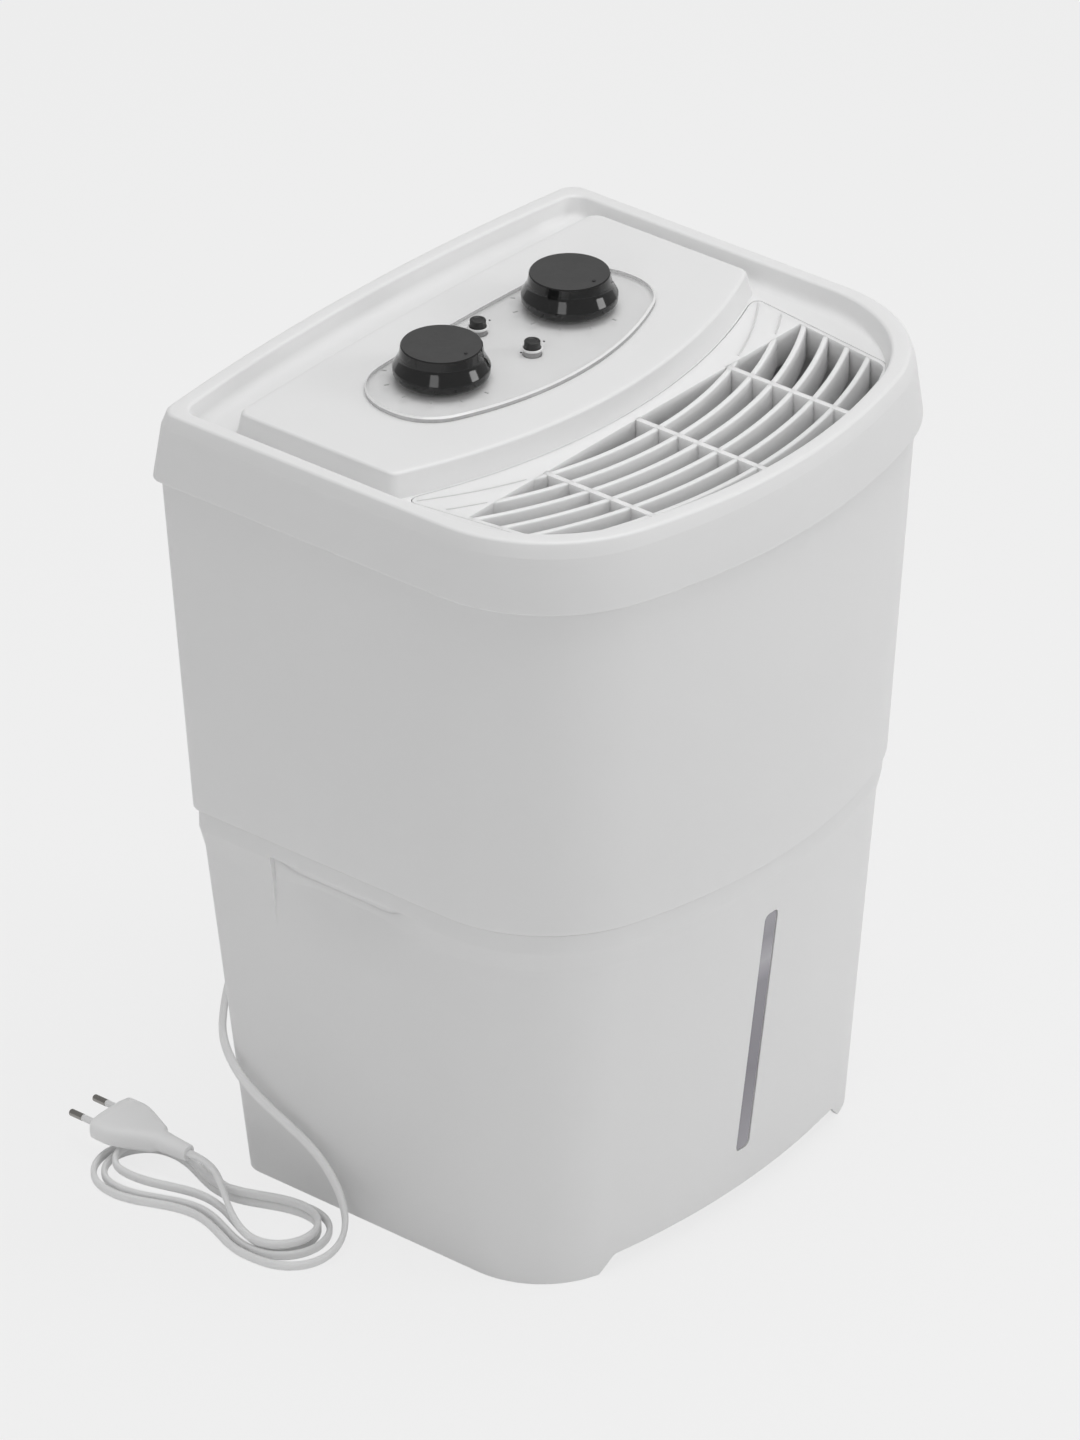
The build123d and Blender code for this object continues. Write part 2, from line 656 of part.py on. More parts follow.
def make_fan_rotor():
    """Axial rotor: a cupped hub and pitched blades."""
    low = FAN_HUB_TOP - FAN_HEIGHT
    rotor = drum(0, FAN_Y, FAN_HUB_RADIUS, low, FAN_HUB_TOP)
    rotor -= drum(0, FAN_Y, FAN_HUB_RADIUS - WALL, low - 1, FAN_HUB_TOP - WALL)
    rotor += drum(0, FAN_Y, MOTOR_SHAFT_RADIUS + 4, low, FAN_HUB_TOP)
    swing = drum(0, FAN_Y, FAN_RADIUS, low, FAN_HUB_TOP)
    swing -= drum(0, FAN_Y, FAN_HUB_RADIUS - 1, low, FAN_HUB_TOP)
    span = FAN_RADIUS - FAN_HUB_RADIUS + 4
    chord = 0.9 * FAN_HEIGHT / math.sin(math.radians(FAN_BLADE_PITCH))
    for i in range(FAN_BLADES):
        blade = Rot(FAN_BLADE_PITCH, 0, 0) * Box(span, chord, FAN_BLADE_THICK)
        blade = Pos(FAN_HUB_RADIUS - 2 + span / 2, 0, low + FAN_HEIGHT / 2) * blade
        rotor += (Pos(0, FAN_Y) * Rot(0, 0, 360 * i / FAN_BLADES) * blade) & swing
    return rotor - drum(0, FAN_Y, MOTOR_SHAFT_RADIUS, low - 1, FAN_HUB_TOP + 1)


def make_float_stem():
    stem = drum(FLOAT_X, FLOAT_Y, STEM_RADIUS, STEM_BOTTOM, FAN_DECK_TOP + 8)
    return stem + drum(FLOAT_X, FLOAT_Y, STEM_FLANGE_RADIUS, SHELF_TOP - 5, SHELF_TOP)


def float_stop(z_low):
    outer = drum(FLOAT_X, FLOAT_Y, STOP_RADIUS, z_low, z_low + STOP_THICK)
    return outer - drum(FLOAT_X, FLOAT_Y, STEM_RADIUS, z_low - 1, z_low + STOP_THICK + 1)


def make_float_stops():
    upper = STEM_BOTTOM + 4 * STOP_THICK + FLOAT_HEIGHT + FLOAT_TRAVEL - STOP_THICK
    return [float_stop(STEM_BOTTOM + 1), float_stop(upper)]


def make_float_nut():
    outer = extrude(Pos(FLOAT_X, FLOAT_Y, FAN_DECK_TOP) * RegularPolygon(8, 6), 5)
    return outer - drum(FLOAT_X, FLOAT_Y, STEM_RADIUS, FAN_DECK_TOP - 1, FAN_DECK_TOP + 9)


def make_float():
    low = STEM_BOTTOM + 1 + STOP_THICK + SEAT_GAP
    body = drum(FLOAT_X, FLOAT_Y, FLOAT_RADIUS, low, low + FLOAT_HEIGHT)
    body = fillet(body.edges().filter_by(GeomType.CIRCLE), 3)
    return body - drum(FLOAT_X, FLOAT_Y, STEM_RADIUS + SEAT_GAP, low - 1, low + FLOAT_HEIGHT + 1)


# Lid, grille and panel


def plateau_face(grow, z=0.0):
    return bowed_face(
        PLATEAU_HALF + grow,
        PLATEAU_FRONT - grow,
        PLATEAU_REAR + grow,
        PLATEAU_BOW,
        PLATEAU_REAR_BOW,
        PLATEAU_CORNER,
        PLATEAU_CORNER,
        z,
    )


def plateau_solid(shrink, low, high):
    foot = plateau_face(PLATEAU_DRAFT - shrink, low)
    return loft([foot, plateau_face(-shrink, high)], ruled=True)


def grille_side(y, grow):
    """Half width of the grille insert at a given y."""
    (x_rear, y_rear), (x_front, y_front) = GRILLE_SIDE_REAR, GRILLE_SIDE_FRONT
    return x_rear + (x_front - x_rear) * (y - y_rear) / (y_front - y_rear) + grow


def trapezoid(y_low, y_high, grow):
    ends = ((-1, y_low), (1, y_low), (1, y_high), (-1, y_high))
    corners = [(side * grille_side(y, grow), y) for side, y in ends]
    return make_face(Polyline(*corners, close=True))


def grille_face(grow):
    """Outline of the grille insert, between the rim's foot and the plateau's."""
    area = plan(RIM_FOOT_INSET + PART_GAP - grow) & trapezoid(-HALF_DEPTH, 0, grow)
    return area - plateau_face(PLATEAU_DRAFT + PART_GAP + 0.6 - grow)


def opening_face(grow):
    """Air outlet: the front arc, the two ends and the straight rear chord."""
    radius, centre = front_arc(RIM_FOOT_INSET)
    disc = Pos(0, centre) * Circle(radius - GRILLE_EDGE + grow)
    return disc & trapezoid(-HALF_DEPTH, CHORD_Y + grow, grow - GRILLE_END_EDGE)


def arc_band(index, width):
    """Band along one vane's arc, counted from the front edge."""
    radius, centre = front_arc(RIM_FOOT_INSET)
    middle = radius - GRILLE_EDGE - VANE_PITCH * index
    return Pos(0, centre) * (Circle(middle + width / 2) - Circle(middle - width / 2))


def make_outlet_grille():
    opening = opening_face(0)
    plate_low = DECK_TOP - GRILLE_PLATE
    grille = extrude(Pos(0, 0, plate_low) * (grille_face(0) - opening), GRILLE_PLATE)
    collar = opening_face(WALL) - opening
    grille += extrude(Pos(0, 0, DECK_TOP - VANE_DEPTH) * (collar & grille_face(0)), VANE_DEPTH)
    reach = opening_face(WALL / 2)
    for index in range(1, VANE_COUNT + 1):
        vane = arc_band(index, VANE_THICK) & reach
        grille += extrude(Pos(0, 0, DECK_TOP - VANE_DEPTH) * vane, VANE_DEPTH)
    for column in (-1, 0, 1):
        bar = (Pos(column * BAR_SPACING, CHORD_Y * 2) * Rectangle(BAR_THICK, HALF_DEPTH)) & reach
        grille += extrude(Pos(0, 0, DECK_TOP - BAR_DEPTH) * bar, BAR_DEPTH)
    solid_deck = grille_face(-RIDGE_WIDTH) - opening_face(WALL)
    for index in range(VANE_COUNT - RIDGE_COUNT + 1, VANE_COUNT + 1):
        ridge = arc_band(index, RIDGE_WIDTH) & solid_deck
        grille += extrude(Pos(0, 0, DECK_TOP - WALL / 2) * ridge, WALL / 2 + RIDGE_HEIGHT)
    return grille


def make_lid():
    outer = body_loft(
        (SKIRT_BOTTOM, 0),
        (RIM_SHOULDER_Z, RIM_SHOULDER_INSET),
        (RIM_EDGE_Z, RIM_EDGE_INSET),
        (RIM_TOP, RIM_CREST_OUTER),
    )
    basin = body_loft((DECK_TOP, RIM_FOOT_INSET), (RIM_TOP + 1, RIM_CREST_INNER))
    lid = outer - basin + plateau_solid(0, DECK_TOP - WALL / 2, PLATEAU_TOP)
    under_top = between(DECK_UNDER, (SKIRT_BOTTOM, 0), (RIM_SHOULDER_Z, RIM_SHOULDER_INSET)) + WALL
    lid -= body_loft((SKIRT_BOTTOM - 1, WALL), (DECK_UNDER, under_top))
    lid -= plateau_solid(WALL, DECK_UNDER - 1, PLATEAU_UNDER)
    crest_under = RIM_TOP - WALL
    lid -= body_loft((DECK_UNDER - 1, under_top), (crest_under, RIM_EDGE_INSET + WALL)) - body_loft(
        (DECK_UNDER - 2, RIM_FOOT_INSET - WALL), (crest_under + 1, RIM_CREST_INNER - WALL + 1)
    )
    lid += ring(NECK_INSET, RIM_FOOT_INSET + SEAT_RIB, NECK_TOP, DECK_UNDER + WALL / 2)
    ledge_low = DECK_TOP - GRILLE_PLATE - WALL
    lid += extrude(Pos(0, 0, ledge_low) * (grille_face(WALL) & plan(RIM_FOOT_INSET)), WALL + GRILLE_PLATE / 2)
    lid -= extrude(Pos(0, 0, DECK_TOP - GRILLE_PLATE) * grille_face(PART_GAP), GRILLE_PLATE + 20)
    lid -= extrude(Pos(0, 0, ledge_low - 1) * opening_face(WALL + PART_GAP), WALL + 2)
    for x, y in LUG_POINTS:
        lid += drum(x, y, BOSS_RADIUS, NECK_TOP, PLATEAU_UNDER if y < PLATEAU_REAR else DECK_UNDER)
        lid -= drum(x, y, SCREW_RADIUS + SCREW_GAP, NECK_TOP - 1, DECK_TOP - 1)
    for x, y in BOARD_POSTS:
        lid += drum(x, y, POST_RADIUS, BOARD_TOP, PLATEAU_UNDER + WALL / 2)
        lid -= drum(x, y, SCREW_RADIUS + SCREW_GAP, BOARD_TOP - 1, BOARD_TOP + 12)
    for side in (-1, 1):
        lid -= drum(side * KNOB_X, KNOB_Y, SPINDLE_HOLE, PLATEAU_UNDER - 1, PLATEAU_TOP + 1)
    for y in BUTTON_YS:
        lid -= drum(0, y, BUTTON_RADIUS + PART_GAP, PLATEAU_UNDER - 1, PLATEAU_TOP + 1)
    return lid


def make_panel_plate():
    face = bowed_face(
        PLATE_HALF,
        PLATE_FRONT,
        PLATE_REAR,
        PLATE_BOW,
        PLATE_REAR_BOW,
        PLATE_FRONT_CORNER,
        PLATE_REAR_CORNER,
        PLATEAU_TOP,
    )
    plate = extrude(face, PLATE_THICK)
    plate = chamfer(plate.edges().group_by(Axis.Z)[-1], 0.6)
    for side in (-1, 1):
        plate -= drum(side * KNOB_X, KNOB_Y, SPINDLE_HOLE, PLATEAU_TOP - 1, PLATE_TOP + 1)
    for y in BUTTON_YS:
        plate -= drum(0, y, BUTTON_RADIUS + PART_GAP, PLATEAU_TOP - 1, PLATE_TOP + 1)
    return plate


def make_button_collar(y):
    outer = drum(0, y, COLLAR_RADIUS, PLATE_TOP, PLATE_TOP + COLLAR_HEIGHT)
    outer = fillet(outer.edges().group_by(Axis.Z)[-1], 0.5)
    return outer - drum(0, y, BUTTON_RADIUS + PART_GAP, PLATE_TOP - 1, PLATE_TOP + COLLAR_HEIGHT + 1)


def make_button(y):
    """Cap with a stem that stands on the push switch's plunger."""
    low = BOARD_TOP + PUSH_HEIGHT + BUTTON_TRAVEL + SEAT_GAP
    cap = drum(0, y, BUTTON_RADIUS, PLATEAU_UNDER - 4, BUTTON_TOP)
    cap = fillet(cap.edges().group_by(Axis.Z)[-1], 0.6)
    return cap + drum(0, y, BUTTON_RADIUS / 2, low, PLATEAU_UNDER - 4)


def make_push_switch(y):
    half = PUSH_SIDE / 2
    return block(-half, half, y - half, y + half, BOARD_TOP, BOARD_TOP + PUSH_HEIGHT)


def make_knob(side):
    """Flared turning knob: a wide lip, a drawn-in waist and a flat round top."""
    lip_z = KNOB_BOTTOM + KNOB_LIP
    waist_z = KNOB_TOP - KNOB_WAIST / 2
    waist_mid = (KNOB_RADIUS * 0.35 + KNOB_TOP_RADIUS * 0.65 - 0.5, (lip_z + waist_z) / 2)
    profile = make_face(
        [
            Line((0, KNOB_BOTTOM), (KNOB_RADIUS - 2, KNOB_BOTTOM)),
            ThreePointArc(
                (KNOB_RADIUS - 2, KNOB_BOTTOM), (KNOB_RADIUS - 0.3, KNOB_BOTTOM + 1.6), (KNOB_RADIUS, lip_z)
            ),
            ThreePointArc((KNOB_RADIUS, lip_z), waist_mid, (KNOB_TOP_RADIUS, waist_z)),
            Line((KNOB_TOP_RADIUS, waist_z), (KNOB_TOP_RADIUS, KNOB_TOP - 1)),
            Line((KNOB_TOP_RADIUS, KNOB_TOP - 1), (KNOB_TOP_RADIUS - 1, KNOB_TOP)),
            Line((KNOB_TOP_RADIUS - 1, KNOB_TOP), (0, KNOB_TOP)),
            Line((0, KNOB_TOP), (0, KNOB_BOTTOM)),
        ]
    )
    knob = revolve(Plane.XZ * profile, Axis.Z)
    knob -= drum(0, 0, KNOB_TOP_RADIUS - KNOB_WALL, KNOB_BOTTOM - 1, KNOB_TOP - KNOB_WALL)
    knob += drum(0, 0, KNOB_BOSS_RADIUS, KNOB_BOTTOM, KNOB_TOP - KNOB_WALL)
    knob -= drum(0, 0, SPINDLE_RADIUS, KNOB_BOTTOM - 1, KNOB_TOP - 2 * KNOB_WALL)
    return Pos(side * KNOB_X, KNOB_Y) * knob


def make_pointer(side):
    """Small mark let into the knob's top, near its front edge."""
    mark = Pos(side * KNOB_X, KNOB_Y - KNOB_TOP_RADIUS + 5, KNOB_TOP) * Cylinder(0.9, 0.6)
    return mark & block(-HALF_WIDTH, HALF_WIDTH, -HALF_DEPTH, HALF_DEPTH, KNOB_TOP, KNOB_TOP + 5)


def make_spindle(side):
    top = KNOB_TOP - 2 * KNOB_WALL - SEAT_GAP
    return drum(side * KNOB_X, KNOB_Y, SPINDLE_RADIUS, BOARD_TOP + 3, top)


def make_rotary_switch(side):
    half = SWITCH_SIDE / 2
    x = side * KNOB_X
    top = BOARD_TOP + SWITCH_HEIGHT
    body = block(x - half, x + half, KNOB_Y - half, KNOB_Y + half, BOARD_TOP, top)
    body = chamfer(body.edges().filter_by(Axis.Z), 3)
    body += drum(x, KNOB_Y, SWITCH_BUSH_RADIUS, top, PLATEAU_UNDER - PART_GAP)
    return body - drum(x, KNOB_Y, SPINDLE_RADIUS + SHAFT_GAP, BOARD_TOP + 2, PLATEAU_UNDER)


def make_board():
    board = block(-BOARD_HALF, BOARD_HALF, BOARD_FRONT, BOARD_REAR, BOARD_TOP - BOARD_THICK, BOARD_TOP)
    for x, y in BOARD_POSTS:
        board -= drum(x, y, SCREW_RADIUS + SCREW_GAP, BOARD_TOP - 5, BOARD_TOP + 1)
    return board


def make_terminal_block():
    half = TERMINAL_LENGTH / 2
    rear = BOARD_REAR - 1
    return block(-half, half, rear - TERMINAL_DEPTH, rear, BOARD_TOP, BOARD_TOP + TERMINAL_HEIGHT)


# Mains lead

GLAND_WALL_Y = rear_y(GLAND_X, casing_inset(GLAND_Z))
GLAND_TIP_Y = GLAND_WALL_Y + GLAND_FLANGE + GLAND_LENGTH
HANK_LOW = HANK_FLOOR + CORD_RADIUS
HANK_NEAR = HANK_Y - HANK_RUN
HANK_START = (HANK_X - HANK_TURN_RADIUS, HANK_NEAR, HANK_LOW)
LEAD_ROUTE = [
    (GLAND_X, GLAND_TIP_Y + FIT_GAP, GLAND_Z),
    (GLAND_X, GLAND_TIP_Y + 14, GLAND_Z),
    (GLAND_X - 1, GLAND_TIP_Y + 28, GLAND_Z - 6.5),
    (GLAND_X - 4, GLAND_TIP_Y + 37, GLAND_Z - 19),
    (GLAND_X - 10, GLAND_TIP_Y + 39, GLAND_Z - 36),
    (-40, 195, 186),
    (-53, 187, 168),
    (-68, 177, 150),
    (-84, 165, 133),
    (-100, 153, 117),
    (-116, 142, 103),
    (-131.5, 131, 91),
    (-144, 119, 79),
    (-149, 104, 66),
    (-148, 89, 55),
    (-147, 73, 47),
    (-147, 57, 40),
    (-148, 43, 31),
    (-151, 31.5, 20.5),
    (-159, 21, 12),
    (-171, 15, 7),
    (-184, 15.5, 4),
    (-196, 22.5, 2.8),
    (HANK_START[0], 33, HANK_LOW),
    (HANK_START[0], HANK_NEAR - FIT_GAP, HANK_LOW),
]
TAIL_ROUTE = [
    (GLAND_X, GLAND_WALL_Y - WALL - GLAND_INSIDE - FIT_GAP, GLAND_Z),
    (GLAND_X, 106, GLAND_Z),
    (-50, 96, 246),
    (-90, 95, 262),
    (TAIL_X, TAIL_Y, 300),
    (TAIL_X, TAIL_Y, 398),
    (-92, 94, 424),
    (-40, 92, 428),
    (-8, 96, 437),
    (-8, BOARD_REAR - 1 + FIT_GAP, 437),
]
MOTOR_LEAD_ROUTE = [
    (12, 40, BOARD_TOP - BOARD_THICK),
    (12, 40, 420),
    (12, FAN_Y + 16, 416),
    (12, FAN_Y + 16, BRACKET_TOP + MOTOR_HEIGHT),
]


def soft_radii(route):
    """Largest arc at each corner that the two runs beside it leave room for."""
    points = [Vector(*point) for point in route]
    radii = []
    for before, corner, after in zip(points, points[1:], points[2:]):
        shorter = min((corner - before).length, (after - corner).length)
        turn = math.radians((corner - before).get_angle(after - corner))
        radii.append(0.45 * shorter / math.tan(turn / 2))
    return radii


def make_lead(route, radius, name):
    """Round tube along a route of straight runs and tangent arcs."""
    radii = soft_radii(route)
    path = FilletPolyline(*route, radius=radii)
    tube = sweep(Plane(path @ 0, z_dir=path % 0) * Circle(radius), path=path)
    filled = tube.volume / (math.pi * radius**2 * path.length)
    bend = min(radii)
    print(name, "length", round(path.length, 1), "least bend", round(bend, 1), "filled", round(filled, 4))
    return tube


def s_bend(start, end, way):
    """Two equal arcs between two points whose tangents both run along Y."""
    start, end = Vector(*start), Vector(*end)
    along = Vector(0, way, 0)
    across = (end - start) - along * (end - start).dot(along)
    if across.length < 1e-6:
        return [Line(start, end)]
    height = abs((end - start).dot(along))
    radius = (height**2 + across.length**2) / (4 * across.length)
    half_angle = math.atan2(across.length, height)
    side = across.normalized()
    step = along * (radius * math.sin(half_angle)) + side * (radius * (1 - math.cos(half_angle)))
    middle = (start + end) * 0.5
    return [ThreePointArc(start, start + step, middle), ThreePointArc(middle, end - step, end)]


def half_turn(start, end, way):
    """Half circle at one end of the hank."""
    start, end = Vector(*start), Vector(*end)
    top = (start + end) * 0.5 + Vector(0, way * (end - start).length / 2, 0)
    return ThreePointArc(start, top, end)


def hank_station(index):
    """Offset from the hank's axis and height of one half loop, counted along the cord."""
    per_layer = 2 * HANK_TURNS
    layer = index // per_layer
    step = index % per_layer if layer == 0 else per_layer - 1 - index % per_layer
    offset = HANK_TURN_RADIUS - HANK_TURN_STEP * step / 2 - HANK_UPPER_SHRINK * layer
    return offset, HANK_LOW + HANK_LAYER * layer


def hank_edges():
    """The hank's loops: spiralling in on the floor, out again on top, then over to the plug."""
    first = (HANK_START[0], HANK_NEAR + 2 * CORD_RADIUS, HANK_LOW)
    edges = [Line(HANK_START, first)]
    here = first
    side, way = -1, 1
    half_turns = 4 * HANK_TURNS - 2
    for index in range(half_turns):
        offset, height = hank_station(index)
        waist = (HANK_X + side * (offset - HANK_WAIST_DRAW), HANK_Y, (here[2] + height) / 2)
        run_end = (HANK_X + side * offset, HANK_Y + way * HANK_RUN, height)
        edges += s_bend(here, waist, way) + s_bend(waist, run_end, way)
        side = -side
        offset = hank_station(index + 1)[0]
        here = (HANK_X + side * offset, run_end[1], run_end[2])
        edges.append(half_turn(run_end, here, way))
        way = -way
    risen = (here[0], here[1] + HANK_RISE, here[2] + HANK_LAYER)
    arrival = (PLUG_X, PLUG_REAR_Y - PLUG_RELIEF - 2 * CORD_RADIUS, PLUG_Z)
    edges += s_bend(here, risen, way) + s_bend(risen, arrival, way)
    edges.append(Line(arrival, (PLUG_X, PLUG_REAR_Y - PLUG_RELIEF, PLUG_Z)))
    return edges


def least_gap(path, samples):
    """Smallest clear distance between stretches of the cord that are not neighbours along it."""
    points = [path @ (i / samples) for i in range(samples + 1)]
    step = path.length / samples
    skip = math.ceil(6 * CORD_RADIUS / step)
    gap = math.inf
    for i, point in enumerate(points):
        for other in points[i + skip :]:
            gap = min(gap, (point - other).length)
    return gap - 2 * CORD_RADIUS


def make_hank():
    path = Wire(hank_edges())
    tube = sweep(Plane(path @ 0, z_dir=path % 0) * Circle(CORD_RADIUS), path=path)
    filled = tube.volume / (math.pi * CORD_RADIUS**2 * path.length)
    gap = least_gap(path, HANK_SAMPLES)
    print("cord_hank length", round(path.length, 1), "least gap", round(gap, 2), "filled", round(filled, 4))
    return tube


def make_gland():
    """Strain relief: a flange shaped to the rear wall, a tapering sleeve outside and a neck inside."""
    flange_y = GLAND_WALL_Y + GLAND_FLANGE
    inside_y = GLAND_WALL_Y - WALL - GLAND_INSIDE
    profile = make_face(
        Polyline(
            (0, inside_y),
            (GLAND_BODY_RADIUS, inside_y),
            (GLAND_BODY_RADIUS, flange_y),
            (GLAND_TIP_RADIUS, GLAND_TIP_Y),
            (0, GLAND_TIP_Y),
            close=True,
        )
    )
    neck = Pos(GLAND_X, 0, GLAND_Z) * revolve(profile, Axis.Y)
    middle = Pos(GLAND_X, (GLAND_WALL_Y + flange_y) / 2, GLAND_Z) * Rot(90, 0, 0)
    flange = middle * Cylinder(GLAND_FLANGE_RADIUS, flange_y - GLAND_WALL_Y + 2)
    wall_low = (CASING_BOTTOM, CASING_BOTTOM_INSET - FIT_GAP)
    wall = body_loft(wall_low, (SHOULDER_TOP, CASING_TOP_INSET - FIT_GAP))
    return neck + (flange - wall)


def make_plug():
    """Flat two-pin plug body that narrows to its cord, with a tapered relief."""
    half, neck = PLUG_WIDTH / 2, PLUG_NECK_WIDTH / 2
    front = PLUG_REAR_Y + PLUG_LENGTH
    shoulder = PLUG_REAR_Y + PLUG_LENGTH * 0.62
    outline = make_face(
        [
            Line((-half + 2, front), (half - 2, front)),
            Line((half - 2, front), (half, front - 4)),
            Line((half, front - 4), (half, shoulder)),
            Line((half, shoulder), (neck, PLUG_REAR_Y)),
            Line((neck, PLUG_REAR_Y), (-neck, PLUG_REAR_Y)),
            Line((-neck, PLUG_REAR_Y), (-half, shoulder)),
            Line((-half, shoulder), (-half, front - 4)),
            Line((-half, front - 4), (-half + 2, front)),
        ]
    )
    body = extrude(Pos(PLUG_X, 0, PLUG_Z - PLUG_THICK / 2) * outline, PLUG_THICK)
    body = chamfer(body.edges().filter_by(Axis.Z, reverse=True), 2)
    relief = loft(
        [
            Plane((PLUG_X, PLUG_REAR_Y - PLUG_RELIEF, PLUG_Z), z_dir=(0, 1, 0)) * Circle(GLAND_TIP_RADIUS),
            Plane((PLUG_X, PLUG_REAR_Y + 1, PLUG_Z), z_dir=(0, 1, 0)) * Circle(neck - 1.5),
        ]
    )
    plug = body + relief
    for side in (-1, 1):
        plug -= pin_rod(side, SLEEVE_RADIUS + FIT_GAP, -12, 1)
    return plug


def pin_rod(side, radius, low, high):
    """Rod along one pin, between two distances from the plug's front face."""
    y = PLUG_REAR_Y + PLUG_LENGTH + (low + high) / 2
    return Pos(PLUG_X + side * PIN_SPACING / 2, y, PLUG_Z) * Rot(90, 0, 0) * Cylinder(radius, high - low)


def make_pins():
    pins = [pin_rod(side, PIN_RADIUS, SLEEVE_LENGTH + FIT_GAP, PIN_LENGTH) for side in (-1, 1)]
    return [fillet(pin.edges().group_by(Axis.Y)[-1], 1) for pin in pins]


def make_sleeves():
    return [pin_rod(side, SLEEVE_RADIUS, -11, SLEEVE_LENGTH) for side in (-1, 1)]


os.makedirs("parts", exist_ok=True)

# Water tub and what stays with it
save("tank_tub", make_tub())
save("level_window", make_window())
save("window_gasket", make_gasket())
save("cassette_frame", make_cassette())
save("front_pad", make_pad(-1))
save("rear_pad", make_pad(1))

# Upper unit
save("casing", make_casing())
save("intake_grille", make_intake_grille())
save("dust_filter", make_dust_filter())
save("fan_deck", make_fan_deck())
save("motor_bracket", make_motor_bracket())
save("fan_motor", make_motor())
save("motor_screws", *make_motor_screws())
save("float_stem", make_float_stem())
save("float_stops", *make_float_stops())
save("float_nut", make_float_nut())
save("lid", make_lid())
save("lid_screws", *[screw(x, y, NECK_TOP - SEAT_THICK, NECK_TOP + 2) for x, y in LUG_POINTS])
save("outlet_grille", make_outlet_grille())
save("panel_plate", make_panel_plate())
save("button_collars", *[make_button_collar(y) for y in BUTTON_YS])
save("control_board", make_board())
save("board_screws", *[screw(x, y, BOARD_TOP - BOARD_THICK, BOARD_TOP + 9) for x, y in BOARD_POSTS])
save("speed_switch", make_rotary_switch(-1))
save("humidistat", make_rotary_switch(1))
save("push_switches", *[make_push_switch(y) for y in BUTTON_YS])
save("terminal_block", make_terminal_block())
save("motor_lead", make_lead(MOTOR_LEAD_ROUTE, CORD_RADIUS * 0.7, "motor_lead"))
save("mains_tail", make_lead(TAIL_ROUTE, CORD_RADIUS, "mains_tail"))
save("cord_gland", make_gland())

# Moving pieces
save("fan_rotor", make_fan_rotor())
save("motor_shaft", make_shaft())
save("float", make_float())
for side, hand in ((-1, "left"), (1, "right")):
    save(f"{hand}_knob", make_knob(side))
    save(f"{hand}_pointer", make_pointer(side))
    save(f"{hand}_spindle", make_spindle(side))
for y, place in zip(BUTTON_YS, ("front", "rear")):
    save(f"{place}_button", make_button(y))

# Mains lead outside
save("cord_lead", make_lead(LEAD_ROUTE, CORD_RADIUS, "cord_lead"))
save("cord_hank", make_hank())
save("plug_body", make_plug())
save("plug_pins", *make_pins())
save("pin_sleeves", *make_sleeves())
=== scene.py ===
"""Looks of the evaporative air washer: fine shells, grille, knobs, clear plate, mains lead and finishes.

Sizes are millimetres, as in the part's source, and become metres where a mesh is made.
Finishes, the floor, the lamps and the camera are in metres from the start.
"""

import math

import bmesh
import bpy
from mathutils import Matrix, Quaternion, Vector


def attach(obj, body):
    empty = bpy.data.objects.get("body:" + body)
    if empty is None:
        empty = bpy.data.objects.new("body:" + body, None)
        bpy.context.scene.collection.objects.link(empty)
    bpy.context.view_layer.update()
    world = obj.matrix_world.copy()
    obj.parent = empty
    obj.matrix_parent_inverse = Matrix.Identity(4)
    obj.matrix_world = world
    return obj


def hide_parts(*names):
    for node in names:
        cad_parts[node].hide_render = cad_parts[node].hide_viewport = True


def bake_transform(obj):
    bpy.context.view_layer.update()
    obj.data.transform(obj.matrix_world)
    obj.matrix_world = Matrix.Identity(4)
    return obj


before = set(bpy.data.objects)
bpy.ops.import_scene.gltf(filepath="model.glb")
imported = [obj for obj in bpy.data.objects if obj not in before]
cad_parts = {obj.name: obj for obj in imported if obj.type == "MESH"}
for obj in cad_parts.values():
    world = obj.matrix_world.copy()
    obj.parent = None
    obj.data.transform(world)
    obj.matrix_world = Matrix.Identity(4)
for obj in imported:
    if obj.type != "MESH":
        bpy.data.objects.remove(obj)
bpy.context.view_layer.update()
MM = 0.001

# Edges, doubles and round pieces
SHARP_ANGLE = 32.0
SOFT_ANGLE = 50.0
MERGE_DISTANCE = 0.001
ON_MIDDLE = 0.01
ROUND_STEPS = 48

# Plan of the body, at the bottom edge of the lid's skirt
HALF_WIDTH = 169.0
HALF_DEPTH = 150.5
FRONT_BOW = 40.0
REAR_BOW = 10.0
FRONT_CORNER = 86.0
REAR_CORNER = 10.0
CORNER_SHRINK = 0.4
PLAN_STEPS = {"front": 56, "front_corner": 24, "side": (70,), "rear_corner": 9, "rear": 28}

# Heights and insets of the shells
RIM_TOP = 454.0
RIM_SHOULDER = 446.0
DECK_TOP = 442.5
SKIRT_BOTTOM = 416.0
SKIRT_LEAN = 5.0
SHOULDER_TOP = 418.0
CASING_MIDDLE = 300.0
CASING_BOTTOM = 222.0
TUB_TOP = 226.0
TUB_FLOOR = 14.8
RIM_SHOULDER_INSET = 3.4
RIM_CREST_OUTER = 5.7
RIM_CREST_INNER = 13.6
RIM_FOOT = 16.0
RIM_FOOT_RADIUS = 0.12
DECK_EDGE = 16.15
HOLLOW_EDGE = 20.6
HOLLOW_RADIUS = 5.0
HOLLOW_FRONT = -94.0
HOLLOW_RUN = 40.0
CASING_TOP_INSET = 3.1
CASING_BOTTOM_INSET = 12.2
LEDGE_GAP = 0.3
LEDGE_THICK = 3.0
LEDGE_WIDTH = 9.0
TUB_RIM_INSET = 16.2
TUB_BAND_INSET = 14.2
TUB_WAIST_INSET = 16.4
TUB_FOOT_INSET = 31.0
TUB_EDGE = 1.0
TUB_RIM_RUN = 6.0
BAND_FOOT = 210.0
BAND_TOP = 221.4
WAIST = 198.0
